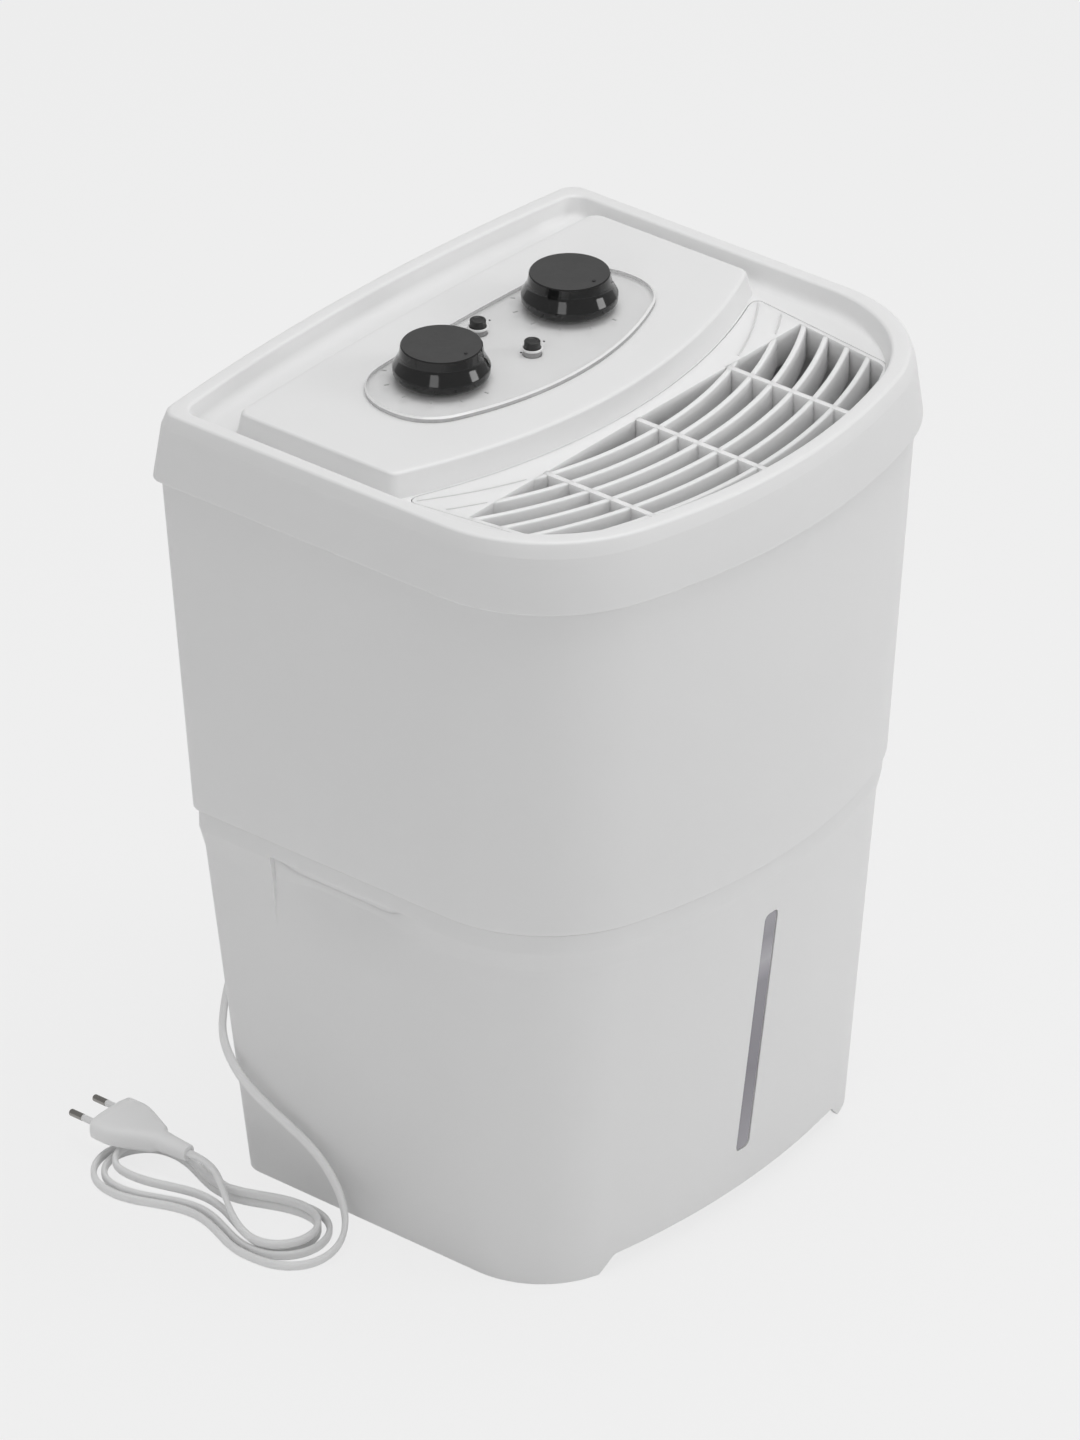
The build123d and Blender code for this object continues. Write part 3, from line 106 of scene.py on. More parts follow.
WALL = 2.6
TUB_WALL = 2.8
FLOOR_BEND = 8.0
FLOOR_RADIUS = 2.5
FLOOR_RISE = 3.0
FLOOR_STEP = 1.0
NECK_INSET = 11.5
NECK_TOP = 437.0

# Front of the tub at its foot, where it is flatter and set back
FOOT_SETBACK = 8.5
FOOT_BOW = 20.0
FOOT_CORNER = 52.0

# Finger recesses, foot arch and rear intake
RECESS_CENTRE = 23.0
RECESS_HALF = 51.0
RECESS_TOP = 211.5
RECESS_BOTTOM = 164.0
RECESS_LIP = 4.0
RECESS_POWER = 1.15
RECESS_DEPTH = 8.0
RECESS_STEP = 0.32
RECESS_REAR_RUN = 30.0
RECESS_FRONT_RUN = 44.0
RECESS_STOPS = (-28.0, 73.6, 74.4)
RECESS_WALL = 2.0
SIDE_ZONE = 40.0
TUB_STEPS = PLAN_STEPS | {"side": (10, 48, 2, 10)}
TUB_RINGS = 66
EXTRA_RINGS = {RECESS_TOP - 0.15, RECESS_TOP + 0.15, RECESS_TOP - 1.2, BAND_FOOT + 4, TUB_TOP - 8}
ARCH_HALF = 101.0
ARCH_SLANT = 10.0
ARCH_RISE = 10.0
ARCH_CORNER = 5.0
ARCH_FEET = (-5.0, -0.01)
ARCH_CUT = (-HALF_DEPTH - 10, -HALF_DEPTH / 2)
INTAKE_HALF = 100.0
INTAKE_BOTTOM = 264.0
INTAKE_TOP = 316.0
INTAKE_CORNER = 3.0
INTAKE_CUT = (HALF_DEPTH - 40, HALF_DEPTH + 20)

# Level window; its sections say how far in from the slot's edge and how far out of the wall's face
WINDOW_BOTTOM = 34.0
WINDOW_TOP = 186.5
WINDOW_WIDTH = 11.0
WINDOW_CORNER = 3.6
WINDOW_LEAST_CORNER = 0.3
WINDOW_STEPS = 8
WINDOW_FLANGE = 3.6
WINDOW_SLOT = [(0, -12), (0, 6)]
PANE = [
    (-WINDOW_FLANGE, -6.8),
    (-WINDOW_FLANGE, -4.5),
    (0.4, -4.5),
    (0.4, -0.75),
    (0.65, -0.5),
    (1.1, -0.4),
    (1.6, -0.4),
]
SEAL = [(-WINDOW_FLANGE, -4.4), (-WINDOW_FLANGE, -3.1), (-0.4, -3.1), (-0.4, -4.4)]

# Raised panel, outlet grille and clear plate
PLATEAU = {"half": 142.0, "front": -32.0, "rear": 106.0, "bows": (32.0, 4.0), "corners": (6.0, 6.0)}
PLATEAU_TOP = 456.0
PLATEAU_DRAFT = 2.2
PLATEAU_FOOT = 0.5
PLATEAU_BORDER = 5.0
HOLE_EASE = 0.6
PART_GAP = 0.4
INSERT_INSET = 16.7
INSERT_GAP = 1.0
SIDE_REAR = (140.0, -6.0)
SIDE_FRONT = (128.0, -94.0)
SIDE_LEAN = (SIDE_REAR[0] - SIDE_FRONT[0]) / (SIDE_REAR[1] - SIDE_FRONT[1])
INSERT_CORNER = 5.0
INSERT_RADIUS = 3.5
END_CORNER = 12.0
END_RADIUS = 9.6
END_STEPS = 8
SIDE_STEPS = 10
CHORD_STEPS = 24
GRILLE_EDGE = 2.3
GRILLE_END_EDGE = 2.4
GRILLE_PLATE = 2.5
GRILLE_SOFTNESS = 0.35
OUTLET_WALL = 1.2
OUTLET_FOOT = (0.3, 1.0)
CHORD_Y = -42.0
VANE_COUNT = 6
VANE_PITCH = 12.8
VANE_THICK = 3.0
VANE_DEPTH = 18.0
VANE_ROUND = 0.9
VANE_ROUND_STEPS = 4
VANE_SINK = 0.2
VANE_SIDE_REACH = 1.8
VANE_CHORD_GAP = 3.0
VANE_POINTS = 49
BAR_SPACING = 73.0
BAR_THICK = 3.2
BAR_DEPTH = 14.0
BAR_SINK = 0.1
BAR_DRAFT = 0.4
RIDGE_COUNT = 2
RIDGE_WIDTH = 1.0
RIDGE_HEIGHT = 0.4
RIDGE_SECTION = [(-0.5, -0.3), (0.5, -0.3), (0.5, 0.4), (0.25, 1.0), (-0.25, 1.0), (-0.5, 0.4)]
RIDGE_STEPS = 16
PLATE = {"half": 96.0, "front": -6.0, "rear": 77.0, "bows": (26.0, 3.0), "corners": (30.0, 34.0)}
PLATE_TOP = 459.0
PLATE_SEAT = 0.05
PLATE_BEVEL = 0.9

# Knobs, buttons and marks
KNOB_X = 51.0
KNOB_Y = 44.3
KNOB_TOP = 477.0
KNOB_BOTTOM = 459.8
KNOB_RADIUS = 25.0
KNOB_TOP_RADIUS = 21.0
KNOB_STEPS = 96
KNOB_SHARP = 28.0
SPINDLE_HOLE = 5.0
BUTTON_YS = {"front": 27.0, "rear": 63.0}
BUTTON_TOP = 464.0
BUTTON_RADIUS = 4.2
BUTTON_HOLE = BUTTON_RADIUS + 0.4
BUTTON_DEPTH = 4.0
BUTTON_DISH = 0.35
COLLAR_RADIUS = 5.4
COLLAR_HEIGHT = 1.1
MARK_COUNT = 10
MARK_RADIUS = 29.6
MARK_START = -90.0
MARK_STEP = -30.0
MARK_LENGTH = 2.6
MARK_WIDTH = 0.7
MARK_HEIGHT = 0.3
MARK_SEAT = 0.4
PIP_RADIUS = 0.55
PIP_SINK = 0.1
PIP_HEIGHT = 0.2
PIP_STEPS = 16
PIPS = [(10.0, 27.5), (-6.8, 28.8), (10.0, 63.5)]

# Mains lead
CORD_RADIUS = 2.6
CORD_FLATNESS = 0.66
CORD_STEPS = 20
CORD_SHARP = 60.0
CORE_POWER = 0.86
WEB_DEPTH = 0.10
WEB_WIDTH = 0.28
LEAD_EXIT = (-20.0, 161.25, 240.0)
LEAD_TURN = 0.4
LEAD_STEEP = 0.2
HANK_X = -176.0
HANK_Y = 98.0
HANK_LOW = 2.7
HANK_LAYER = 5.8
HANK_RUN = 46.0
HANK_HALF_TURNS = 6
HANK_PER_LAYER = 4
HANK_RADIUS = 29.0
HANK_BULGE = 1.035
HANK_STEP = 5.6
HANK_UPPER_SHRINK = 4.0
HANK_WAIST_DRAW = 13.0
HANK_RISE = 64.0
HANK_CLIMB = 1.4
RUN_STEPS = 8
TURN_STEPS = 6
RISE_STEPS = 7
LEAD_TWIST = 420.0
PLUG_TWIST = 60.0

# Plug; its stations are a distance from its rear, a half width and a half height
PLUG_X = -168.0
PLUG_Z = 18.2
PLUG_REAR_Y = 142.0
PLUG_LENGTH = 36.0
PLUG_RELIEF = 20.0
PLUG_ARRIVAL = (-6.0, 1.0)
PLUG_STATIONS = [
    (-PLUG_RELIEF, 4.0, 4.0),
    (-PLUG_RELIEF + 0.6, 4.4, 4.3),
    (-8, 5.2, 4.9),
    (-1, 6.0, 5.4),
    (1.5, 7.6, 6.0),
    (8, 10.5, 6.4),
    (15, 13.8, 6.7),
    (21, 16.2, 6.8),
    (25, 17.0, 6.8),
    (31, 17.0, 6.8),
    (PLUG_LENGTH - 1.6, 16.7, 6.8),
    (PLUG_LENGTH - 0.4, 15.8, 6.0),
    (PLUG_LENGTH, 14.6, 4.8),
]
PLUG_STEPS = 40
PLUG_SHARP = 40.0
PLUG_POWER = 0.5
RELIEF_POWER = 0.9

# Pins; their profiles are a radius, a distance from the plug's face and a corner's radius
PIN_SPACING = 18.6
PIN_STEPS = 32
PIN_TIP = [(0, 9.9, 0), (2.0, 9.9, 0), (2.0, 19, 1.2), (0, 19, 0)]
PIN_SLEEVE = [(0, -3, 0), (1.9, -3, 0), (1.9, 10.0, 0.2), (0, 10.0, 0)]

# Photograph's view, with places in metres
CAMERA_PLACE = (-3.45969, -2.83289, 2.85059)
CAMERA_TARGET = (-0.0229, 0.003, 0.2599)
CAMERA_LENS = 250.0
CAMERA_REACH = 50.0

# Soft studio light: place in metres, watts and edge length of each lamp
BACKDROP = 0.42
FLOOR_HALF = 6.0
FLOOR_TONE = 0.92
FLOOR_ROUGHNESS = 0.9
FLOOR_GLOW = 0.875
FLOOR_GLOW_SHARE = 0.88
FLOOR_RAYS = ("Camera", "Glossy", "Transmission")
LAMP_TARGET = (0, 0, 0.25)
LAMPS = {
    "top_box": ((0.2, -0.2, 2.6), 28, 1.8),
    "front_box": ((1.4, -2.2, 1.4), 14, 0.9),
    "left_box": ((-2.4, -0.9, 1.5), 6.5, 0.9),
}


def overload(operation):
    """A Math node as an operator of a value and as its reflected form."""

    def plain(self, other):
        return self.math(operation, self, other)

    def reflected(self, other):
        return self.math(operation, other, self)

    return plain, reflected


class Value:
    """A socket in a node tree, with arithmetic that adds the Math nodes."""

    __add__, __radd__ = overload("ADD")
    __sub__, __rsub__ = overload("SUBTRACT")
    __mul__, __rmul__ = overload("MULTIPLY")
    __truediv__, __rtruediv__ = overload("DIVIDE")

    def __init__(self, graph, socket):
        self.graph = graph
        self.socket = socket

    def math(self, operation, first, second=0.0):
        return self.graph.node("ShaderNodeMath", {0: first, 1: second}, operation=operation)

    def least(self, other):
        return self.math("MINIMUM", self, other)

    def turned(self, function):
        """Sine, cosine or their inverse of this value."""
        return self.math(function, self)


class Graph:
    """A node tree that is built one node at a time."""

    def __init__(self, tree):
        self.tree = tree

    def node(self, kind, sockets=None, output=0, **settings):
        """One output of a new node, whose settings come before its sockets' values and links."""
        made = self.tree.nodes.new(kind)
        for name, value in settings.items():
            if name == "stops":
                self.set_stops(made.color_ramp, value)
            else:
                setattr(made, name, value)
        for key, value in (sockets or {}).items():
            self.feed(made.inputs[key], value)
        return Value(self, made.outputs[output])

    def vector(self, x=0.0, y=0.0, z=0.0):
        return self.node("ShaderNodeCombineXYZ", {0: x, 1: y, 2: z})

    def feed(self, socket, value):
        if isinstance(value, Value):
            self.tree.links.new(value.socket, socket)
        else:
            socket.default_value = value

    @staticmethod
    def set_stops(ramp, stops):
        while len(ramp.elements) < len(stops):
            ramp.elements.new(1.0)
        for element, (place, colour) in zip(ramp.elements, stops):
            element.position = place
            element.color = colour


# Finishes


def grey(level):
    return (level, level, level, 1.0)


class Finish:
    """A material under construction: its graph, its shader and its object coordinates."""

    def __init__(self, name, slot):
        self.material = bpy.data.materials.new(name)
        self.material.use_nodes = True
        self.slot = slot
        self.graph = Graph(self.material.node_tree)
        self.shader = self.material.node_tree.nodes["Principled BSDF"]
        self.place = self.graph.node("ShaderNodeTexCoord", output="Object")

    def stretched(self, stretch):
        """Object coordinates, scaled on each axis."""
        return self.graph.node("ShaderNodeMapping", {"Vector": self.place, "Scale": stretch})

    def noise(self, scale, detail=2.0, stretch=(1, 1, 1)):
        place = self.stretched(stretch)
        sockets = {"Vector": place, "Scale": scale, "Detail": detail, "Roughness": 0.55}
        return self.graph.node("ShaderNodeTexNoise", sockets)

    def cells(self, scale, feature="F1", stretch=(1, 1, 1)):
        sockets = {"Vector": self.stretched(stretch), "Scale": scale}
        return self.graph.node("ShaderNodeTexVoronoi", sockets, feature=feature)

    def axis(self, name):
        return self.graph.node("ShaderNodeSeparateXYZ", {0: self.place}, output=name)

    def mix(self, factor, first, second):
        sockets = {"Factor": factor, 6: first, 7: second}
        return self.graph.node("ShaderNodeMix", sockets, output=2, data_type="RGBA")

    def set(self, socket, value):
        self.graph.feed(self.shader.inputs[socket], value)

    def vary(self, pattern, first, second, roughness, spread):
        """Base colour and roughness that follow one pattern."""
        self.set("Base Color", self.mix(pattern, first, second))
        self.set("Roughness", roughness + pattern * spread)

    def bump(self, height, strength, distance=0.0004):
        sockets = {"Height": height, "Strength": strength, "Distance": distance}
        self.set("Normal", self.graph.node("ShaderNodeBump", sockets))


def moulded_white(name, slot, level, roughness, glow=0.3, glow_reach=0.003):
    """White moulded plastic: a faint mottle, uneven sheen, fine spark texture and a few specks."""
    finish = Finish(name, slot)
    specks = 1 - (finish.cells(95.0) * 26).least(1.0)
    tone = finish.mix(finish.noise(7.0, 3.0), grey(level), grey(level - 0.025))
    finish.set("Base Color", finish.mix(specks * 0.12, tone, grey(0.30)))
    finish.set("Roughness", roughness + finish.noise(24.0, 2.0) * 0.10)
    finish.bump(finish.noise(1500.0, 1.0) + finish.noise(260.0, 2.0) * 0.6, 0.05)
    finish.set("Specular IOR Level", 0.45)
    finish.set("Subsurface Weight", glow)
    finish.set("Subsurface Radius", (1.0, 1.0, 1.0))
    finish.set("Subsurface Scale", glow_reach)
    return finish


def plain_plastic(name, slot, level, shade, roughness, mottle=14.0, sheen=40.0, grain=(900.0, 2.0, 0.08)):
    """Plastic or rubber; mottle and sheen are noise scales, grain a scale, a detail and a strength."""
    finish = Finish(name, slot)
    finish.set("Base Color", finish.mix(finish.noise(mottle, 3.0), grey(level), grey(shade)))
    finish.set("Roughness", roughness + finish.noise(sheen) * 0.12)
    finish.bump(finish.noise(*grain[:2]), grain[2])
    return finish


def clear_plastic(name, scale, stretch, tones, roughness, alpha):
    """Clear plastic with a haze; roughness and alpha are each a least value and a spread."""
    finish = Finish(name, "clear_plate")
    haze = finish.noise(scale, 3.0, stretch)
    finish.vary(haze, grey(tones[0]), grey(tones[1]), *roughness)
    finish.set("Alpha", alpha[0] + haze * alpha[1])
    return finish


def brushed_metal(name, slot, colour, shade, roughness, stretch):
    """Metal with fine streaks; stretch is the scale of their pattern on each axis."""
    finish = Finish(name, slot)
    streak = finish.noise(160.0, 3.0, stretch)
    finish.vary(streak, colour, shade, roughness, 0.18)
    finish.set("Metallic", 1.0)
    finish.bump(streak, 0.05)
    return finish


def knob_gloss():
    """Polished black lip and flank of a knob, with faint dust."""
    finish = Finish("knob_gloss", "black_plastic")
    finish.set("Base Color", finish.mix(finish.noise(420.0, 4.0), grey(0.006), grey(0.014)))
    finish.set("Roughness", 0.07 + finish.noise(60.0, 3.0) * 0.06)
    finish.set("Specular IOR Level", 0.32)
    finish.set("Coat Roughness", 0.03)
    finish.set("Coat Weight", 0.3)
    return finish


def smoky_pane_painted_light():
    """Smoky level window: its tint with painted light, darker in the middle, with lighter ends as painted
    highlights and a pale stretch of painted reflection near the top.
    """
    finish = Finish("smoky_pane_painted_light", "smoky_clear")
    height = (finish.axis("Z") * (1 / MM) - WINDOW_BOTTOM) / (WINDOW_TOP - WINDOW_BOTTOM)
    cloud = finish.noise(18.0, 4.0) * 0.10 - 0.05
    # Painted light along the height: the pale stop at 0.80 is a painted reflection, the lighter ends are
    # painted highlights
    stops = [
        (0.0, (0.29, 0.28, 0.31, 1)),
        (0.35, (0.19, 0.18, 0.21, 1)),
        (0.70, (0.23, 0.22, 0.25, 1)),
        (0.80, (0.40, 0.39, 0.42, 1)),
        (0.90, (0.27, 0.26, 0.29, 1)),
        (1.0, (0.32, 0.31, 0.34, 1)),
    ]
    finish.set("Base Color", finish.graph.node("ShaderNodeValToRGB", {"Fac": height + cloud}, stops=stops))
    finish.set("Roughness", 0.16 + finish.noise(120.0) * 0.10)
    finish.set("Coat Weight", 0.3)
    return finish


def wick_paper():
    """Pleated wick paper: fine upright corrugation and mottled cream colour."""
    finish = Finish("wick_paper", "wick_felt")
    fibre = finish.noise(60.0, 5.0, (1, 1, 0.25))
    finish.vary(fibre, (0.78, 0.72, 0.58, 1), (0.62, 0.56, 0.43, 1), 0.86, 0.1)
    sockets = {"Vector": finish.place, "Scale": 95.0, "Distortion": 0.6}
    wave = finish.graph.node("ShaderNodeTexWave", sockets, bands_direction="X")
    finish.bump(wave + fibre * 0.5, 0.6, 0.0012)
    return finish


def woven_filter():
    """Dark woven dust filter."""
    finish = Finish("woven_filter", "filter_mesh")
    across = (finish.axis("X") * (2.2 / MM)).turned("SINE")
    up = (finish.axis("Z") * (2.2 / MM)).turned("SINE")
    weave = across * up * 0.5 + 0.5
    finish.vary(weave, grey(0.035), grey(0.11), 0.72, 0.2)
    finish.bump(weave, 0.5, 0.0006)
    return finish


def circuit_board():
    """Green board with the pattern of its tracks."""
    finish = Finish("circuit_board", "board_green")
    track = (finish.cells(160.0, "DISTANCE_TO_EDGE", (1, 2.2, 1)) * 22).least(1.0)
    finish.vary(track, (0.10, 0.20, 0.09, 1), (0.02, 0.10, 0.045, 1), 0.35, 0.15)
    finish.bump(track, 0.12)
    return finish


def float_foam():
    """Orange foam with fine cells."""
    finish = Finish("float_foam_orange", "float_foam")
    cell = finish.cells(900.0)
    finish.vary(cell, (0.78, 0.30, 0.09, 1), (0.60, 0.20, 0.05, 1), 0.75, 0.2)
    finish.bump(cell, 0.3)
    return finish


# The pins' metal is darker than bright nickel: a painted dark reflection
PIN_PAINTED_DARK_REFLECTION = ((0.36, 0.35, 0.33, 1), (0.26, 0.25, 0.24, 1))
SPUN = (2200.0, 1.0, 0.10)
EVEN, UPRIGHT = (1, 1, 1), (1, 1, 0.2)
FINISHES = {
    "shell": moulded_white("shell_white", "white_abs", 0.80, 0.34),
    "tub": moulded_white("tub_white", "white_abs", 0.80, 0.38),
    # The grille's white is lighter than the shell's: painted light for the bounce light between its vanes
    "grille": moulded_white("grille_white_painted_light", "white_abs", 0.84, 0.40, glow=0.5, glow_reach=0.006),
    "cord": moulded_white("cord_white", "white_cord", 0.87, 0.45),
    # The plug is a lighter copy of the cord's white: painted light
    "plug": moulded_white("plug_white_painted_light", "white_cord", 0.90, 0.42, glow=0.6),
    "sleeve": plain_plastic("pin_sleeve_white", "white_sleeve", 0.82, 0.77, 0.30),
    "button": plain_plastic("button_black", "black_plastic", 0.016, 0.03, 0.36),
    "knob_satin": plain_plastic("knob_satin", "black_plastic", 0.036, 0.050, 0.42, 90.0, 300.0, SPUN),
    "mark": plain_plastic("mark_grey", "white_abs", 0.42, 0.36, 0.5),
    "switch": plain_plastic("switch_black", "black_plastic", 0.02, 0.035, 0.5),
    "gasket": plain_plastic("gasket_grey", "grey_rubber", 0.06, 0.08, 0.7),
    # The inner parts' grey is lighter than their own: painted light against the shade inside the body
    "inner": plain_plastic("inner_grey_painted_light", "grey_plastic", 0.66, 0.60, 0.5),
    # The clear plate's face, its cut edge as a grey band of painted shade, and its bevel as a bright line of
    # painted highlight
    "sheet": clear_plastic("clear_sheet", 30.0, EVEN, (0.84, 0.78), (0.06, 0.06), (0.10, 0.05)),
    "sheet_edge_painted_shade": clear_plastic("clear_edge_painted_shade", 45.0, UPRIGHT, (0.22, 0.55), (0.16, 0.10), (0.55, 0.3)),
    "sheet_bevel_painted_highlight": clear_plastic("clear_bevel_painted_highlight", 70.0, UPRIGHT, (0.92, 0.72), (0.05, 0.08), (0.75, 0.25)),
    "zinc": brushed_metal("zinc_plate", "zinc_steel", grey(0.62), grey(0.50), 0.28, (1, 1, 8)),
    "motor": brushed_metal("motor_can", "motor_steel", grey(0.30), grey(0.24), 0.40, (1, 1, 6)),
    "pin": brushed_metal("pin_nickel", "pin_metal", *PIN_PAINTED_DARK_REFLECTION, 0.16, (8, 1, 8)),
    "knob_gloss": knob_gloss(),
    "pane": smoky_pane_painted_light(),
    "wick": wick_paper(),
    "filter": woven_filter(),
    "board": circuit_board(),
    "float": float_foam(),
}


# Mesh helpers


def linked(name, data):
    """New object in the scene."""
    made = bpy.data.objects.new(name, data)
    bpy.context.scene.collection.objects.link(made)
    return made


def evaluated_mesh(carrier):
    """Plain mesh of an object, with its modifiers applied."""
    return bpy.data.meshes.new_from_object(carrier.evaluated_get(bpy.context.evaluated_depsgraph_get()))


def closed_mesh(name, shape):
    """Mesh of a shape in millimetres, with its faces turned out."""
    vertices, faces = shape
    mesh = bpy.data.meshes.new(name)
    mesh.from_pydata([[c * MM for c in v] for v in vertices], [], faces)
    outward(mesh)
    return mesh


def outward(mesh):
    """Merges doubles and turns all faces out."""
    mesh.validate()
    shape = bmesh.new()
    shape.from_mesh(mesh)
    bmesh.ops.remove_doubles(shape, verts=shape.verts, dist=MERGE_DISTANCE * MM)
    bmesh.ops.recalc_face_normals(shape, faces=shape.faces)
    shape.to_mesh(mesh)
    shape.free()


def new_piece(name, body, finishes, shape, sharp=SHARP_ANGLE, pick=None):
    """Closed piece that rides on a body; pick gives the number of a face's finish."""
    return finish_piece(closed_mesh(name, shape), name, body, finishes, sharp, pick)


def finish_piece(mesh, name, body, finishes, sharp=SHARP_ANGLE, pick=None):
    """Gives a mesh its finishes and makes it a piece that rides on a body."""
    for key in finishes:
        mesh.materials.append(FINISHES[key].material)
    for polygon in mesh.polygons if pick else ():
        polygon.material_index = pick(polygon.center / MM, polygon.normal)
    mesh.shade_smooth()
    mesh.set_sharp_from_angle(angle=math.radians(sharp))
    piece = linked(name, mesh)
    if body:
        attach(piece, body)
    return piece


def settle(piece):
    """Applies a piece's modifiers to its mesh."""
    mesh = evaluated_mesh(piece)
    piece.modifiers.clear()
    piece.data = mesh
    mesh.set_sharp_from_angle(angle=math.radians(SHARP_ANGLE))


def soften(piece, width):
    """Rounds a piece's sharp edges a little."""
    bevel = piece.modifiers.new("soft_edges", "BEVEL")
    bevel.width = width * MM
    bevel.segments = 2
    bevel.limit_method = "ANGLE"
    bevel.angle_limit = math.radians(SOFT_ANGLE)
    settle(piece)


def cut(piece, *cutters):
    """Cuts closed shapes out of a piece."""
    for shape in cutters:
        cutter = linked("cutter", closed_mesh("cutter", shape))
        modifier = piece.modifiers.new("cut", "BOOLEAN")
        modifier.operation = "DIFFERENCE"
        modifier.object = cutter
        modifier.solver = "EXACT"
        settle(piece)
        bpy.data.meshes.remove(cutter.data)


# Outlines and shapes


def smooth(share):
    """Eased step from 0 to 1."""
    share = max(0.0, min(1.0, share))
    return share * share * (3 - 2 * share)


def rounded(corners, closed=False, steps=5):
    """Path through (x, y, radius) corners, each rounded by an arc of that radius."""
    path = []
    count = len(corners)
    for index, (x, y, radius) in enumerate(corners):
        corner = Vector((x, y))
        if radius == 0 or (not closed and index in (0, count - 1)):
            path.append((x, y))
            continue
        before = (Vector(corners[index - 1][:2]) - corner).normalized()
        after = (Vector(corners[(index + 1) % count][:2]) - corner).normalized()
        half = before.angle(after) / 2
        centre = corner + (before + after).normalized() * (radius / math.sin(half))
        reach = radius / math.tan(half)
        start = corner + before * reach - centre
        turn = -start.angle_signed(corner + after * reach - centre)
        for step in range(steps + 1):
            spoke = Matrix.Rotation(turn * step / steps, 2) @ start
            path.append(tuple(centre + spoke))
    return path


def arc(centre, radius, start, end, steps):
    """Points on an arc between two angles, without the last one."""
    angles = [start + (end - start) * i / steps for i in range(steps)]
    return [(centre[0] + radius * math.cos(a), centre[1] + radius * math.sin(a)) for a in angles]


def circle(centre, radius, steps=ROUND_STEPS):
    return arc(centre, radius, 0, 2 * math.pi, steps)


def line(start, end, steps):
    """Points on a line, without the last one."""
    return [tuple(s + (e - s) * i / steps for s, e in zip(start, end)) for i in range(steps)]


def bowed_outline(half, y_front, y_rear, bows, corners, stops=(), steps=PLAN_STEPS):
    """Plan with a bowed front and rear and tangent corners, from the front middle rightwards.

    Bows and corners are for the front and the rear; stops are places on the sides where points are wanted.
    """

    def quarter(bow, corner, y_end, inward):
        radius = (half**2 + bow**2) / (2 * bow)
        arc_y = y_end + inward * radius
        x = half - corner
        y = arc_y - inward * math.sqrt((radius - corner) ** 2 - x**2)
        return radius, arc_y, (x, y), math.atan2(y - arc_y, x)

    f_radius, f_arc_y, f_centre, f_angle = quarter(bows[0], corners[0], y_front, 1)
    r_radius, r_arc_y, r_centre, r_angle = quarter(bows[1], corners[1], y_rear, -1)
    right = arc((0, f_arc_y), f_radius, -math.pi / 2, f_angle, steps["front"] // 2)
    right += arc(f_centre, corners[0], f_angle, 0, steps["front_corner"])
    places = [f_centre[1], *stops, r_centre[1]]
    for start, end, count in zip(places, places[1:], steps["side"]):
        right += line((half, start), (half, end), count)
    right += arc(r_centre, corners[1], 0, r_angle, steps["rear_corner"])
    right += arc((0, r_arc_y), r_radius, r_angle, math.pi / 2, steps["rear"] // 2)
    left = [(-x, y) for x, y in reversed(right[1:])]
    return right + [(0, y_rear)] + left


def plan(inset, foot=0.0, stops=(), steps=PLAN_STEPS):
    """Body's plan at an inset; a share of the foot draws its front back and flattens it."""
    y_front = inset - HALF_DEPTH + FOOT_SETBACK * foot
    bows = (FRONT_BOW + (FOOT_BOW - FRONT_BOW) * foot, REAR_BOW)
    corner = FRONT_CORNER - CORNER_SHRINK * inset
    corners = (corner + (FOOT_CORNER - corner) * foot, REAR_CORNER)
    return bowed_outline(HALF_WIDTH - inset, y_front, HALF_DEPTH - inset, bows, corners, stops, steps)


def tub_plan(inset, z):
    """Plan of the tub at a height, with points where its finger recesses end."""
    return plan(inset, max(0.0, 1 - z / WAIST), RECESS_STOPS, TUB_STEPS)


def panel_outline(panel, grow, corner_grow=0.0):
    """Outline of the raised panel or of its plate, let out by grow and its corners by corner_grow."""
    corners = [corner + corner_grow for corner in panel["corners"]]
    half, y_front, y_rear = panel["half"] + grow, panel["front"] - grow, panel["rear"] + grow
    return bowed_outline(half, y_front, y_rear, panel["bows"], corners)


def plateau_outline(grow):
    return panel_outline(PLATEAU, grow)


def plate_outline(grow):
    return panel_outline(PLATE, grow, grow)


def loft(rings, closed=False):
    """Vertices and faces through rings of equally many points, each ring a list of (x, y, z)."""
    count = len(rings[0])
    vertices = [point for ring in rings for point in ring]
    faces = []
    spans = len(rings) if closed else len(rings) - 1
    for level in range(spans):
        low, high = level * count, (level + 1) % len(rings) * count
        for i in range(count):
            j = (i + 1) % count
            faces.append((low + i, low + j, high + j, high + i))
    return vertices, faces


def capped(rings):
    """Loft with both end rings closed by one face each."""
    vertices, faces = loft(rings)
    count = len(rings[0])
    last = len(vertices) - count
    return vertices, faces + [tuple(range(count)), tuple(range(last, last + count))]


def at_height(outline, z):
    """Ring of an outline at a height."""
    return [(x, y, z) for x, y in outline]


def at_depths(outline, depths):
    """Rings of an upright (x, z) outline at several depths."""
    return [[(x, y, z) for x, z in outline] for y in depths]


def tiers(outline, section):
    """Rings at the (size, height) pairs of a section; outline gives the points for a size."""
    return [at_height(outline(size), z) for size, z in section]


def join(*shapes):
    """One list of vertices and one of faces from several shapes."""
    vertices, faces = [], []
    for shape_vertices, shape_faces in shapes:
        base = len(vertices)
        vertices += shape_vertices
        faces += [tuple(base + i for i in face) for face in shape_faces]
    return vertices, faces


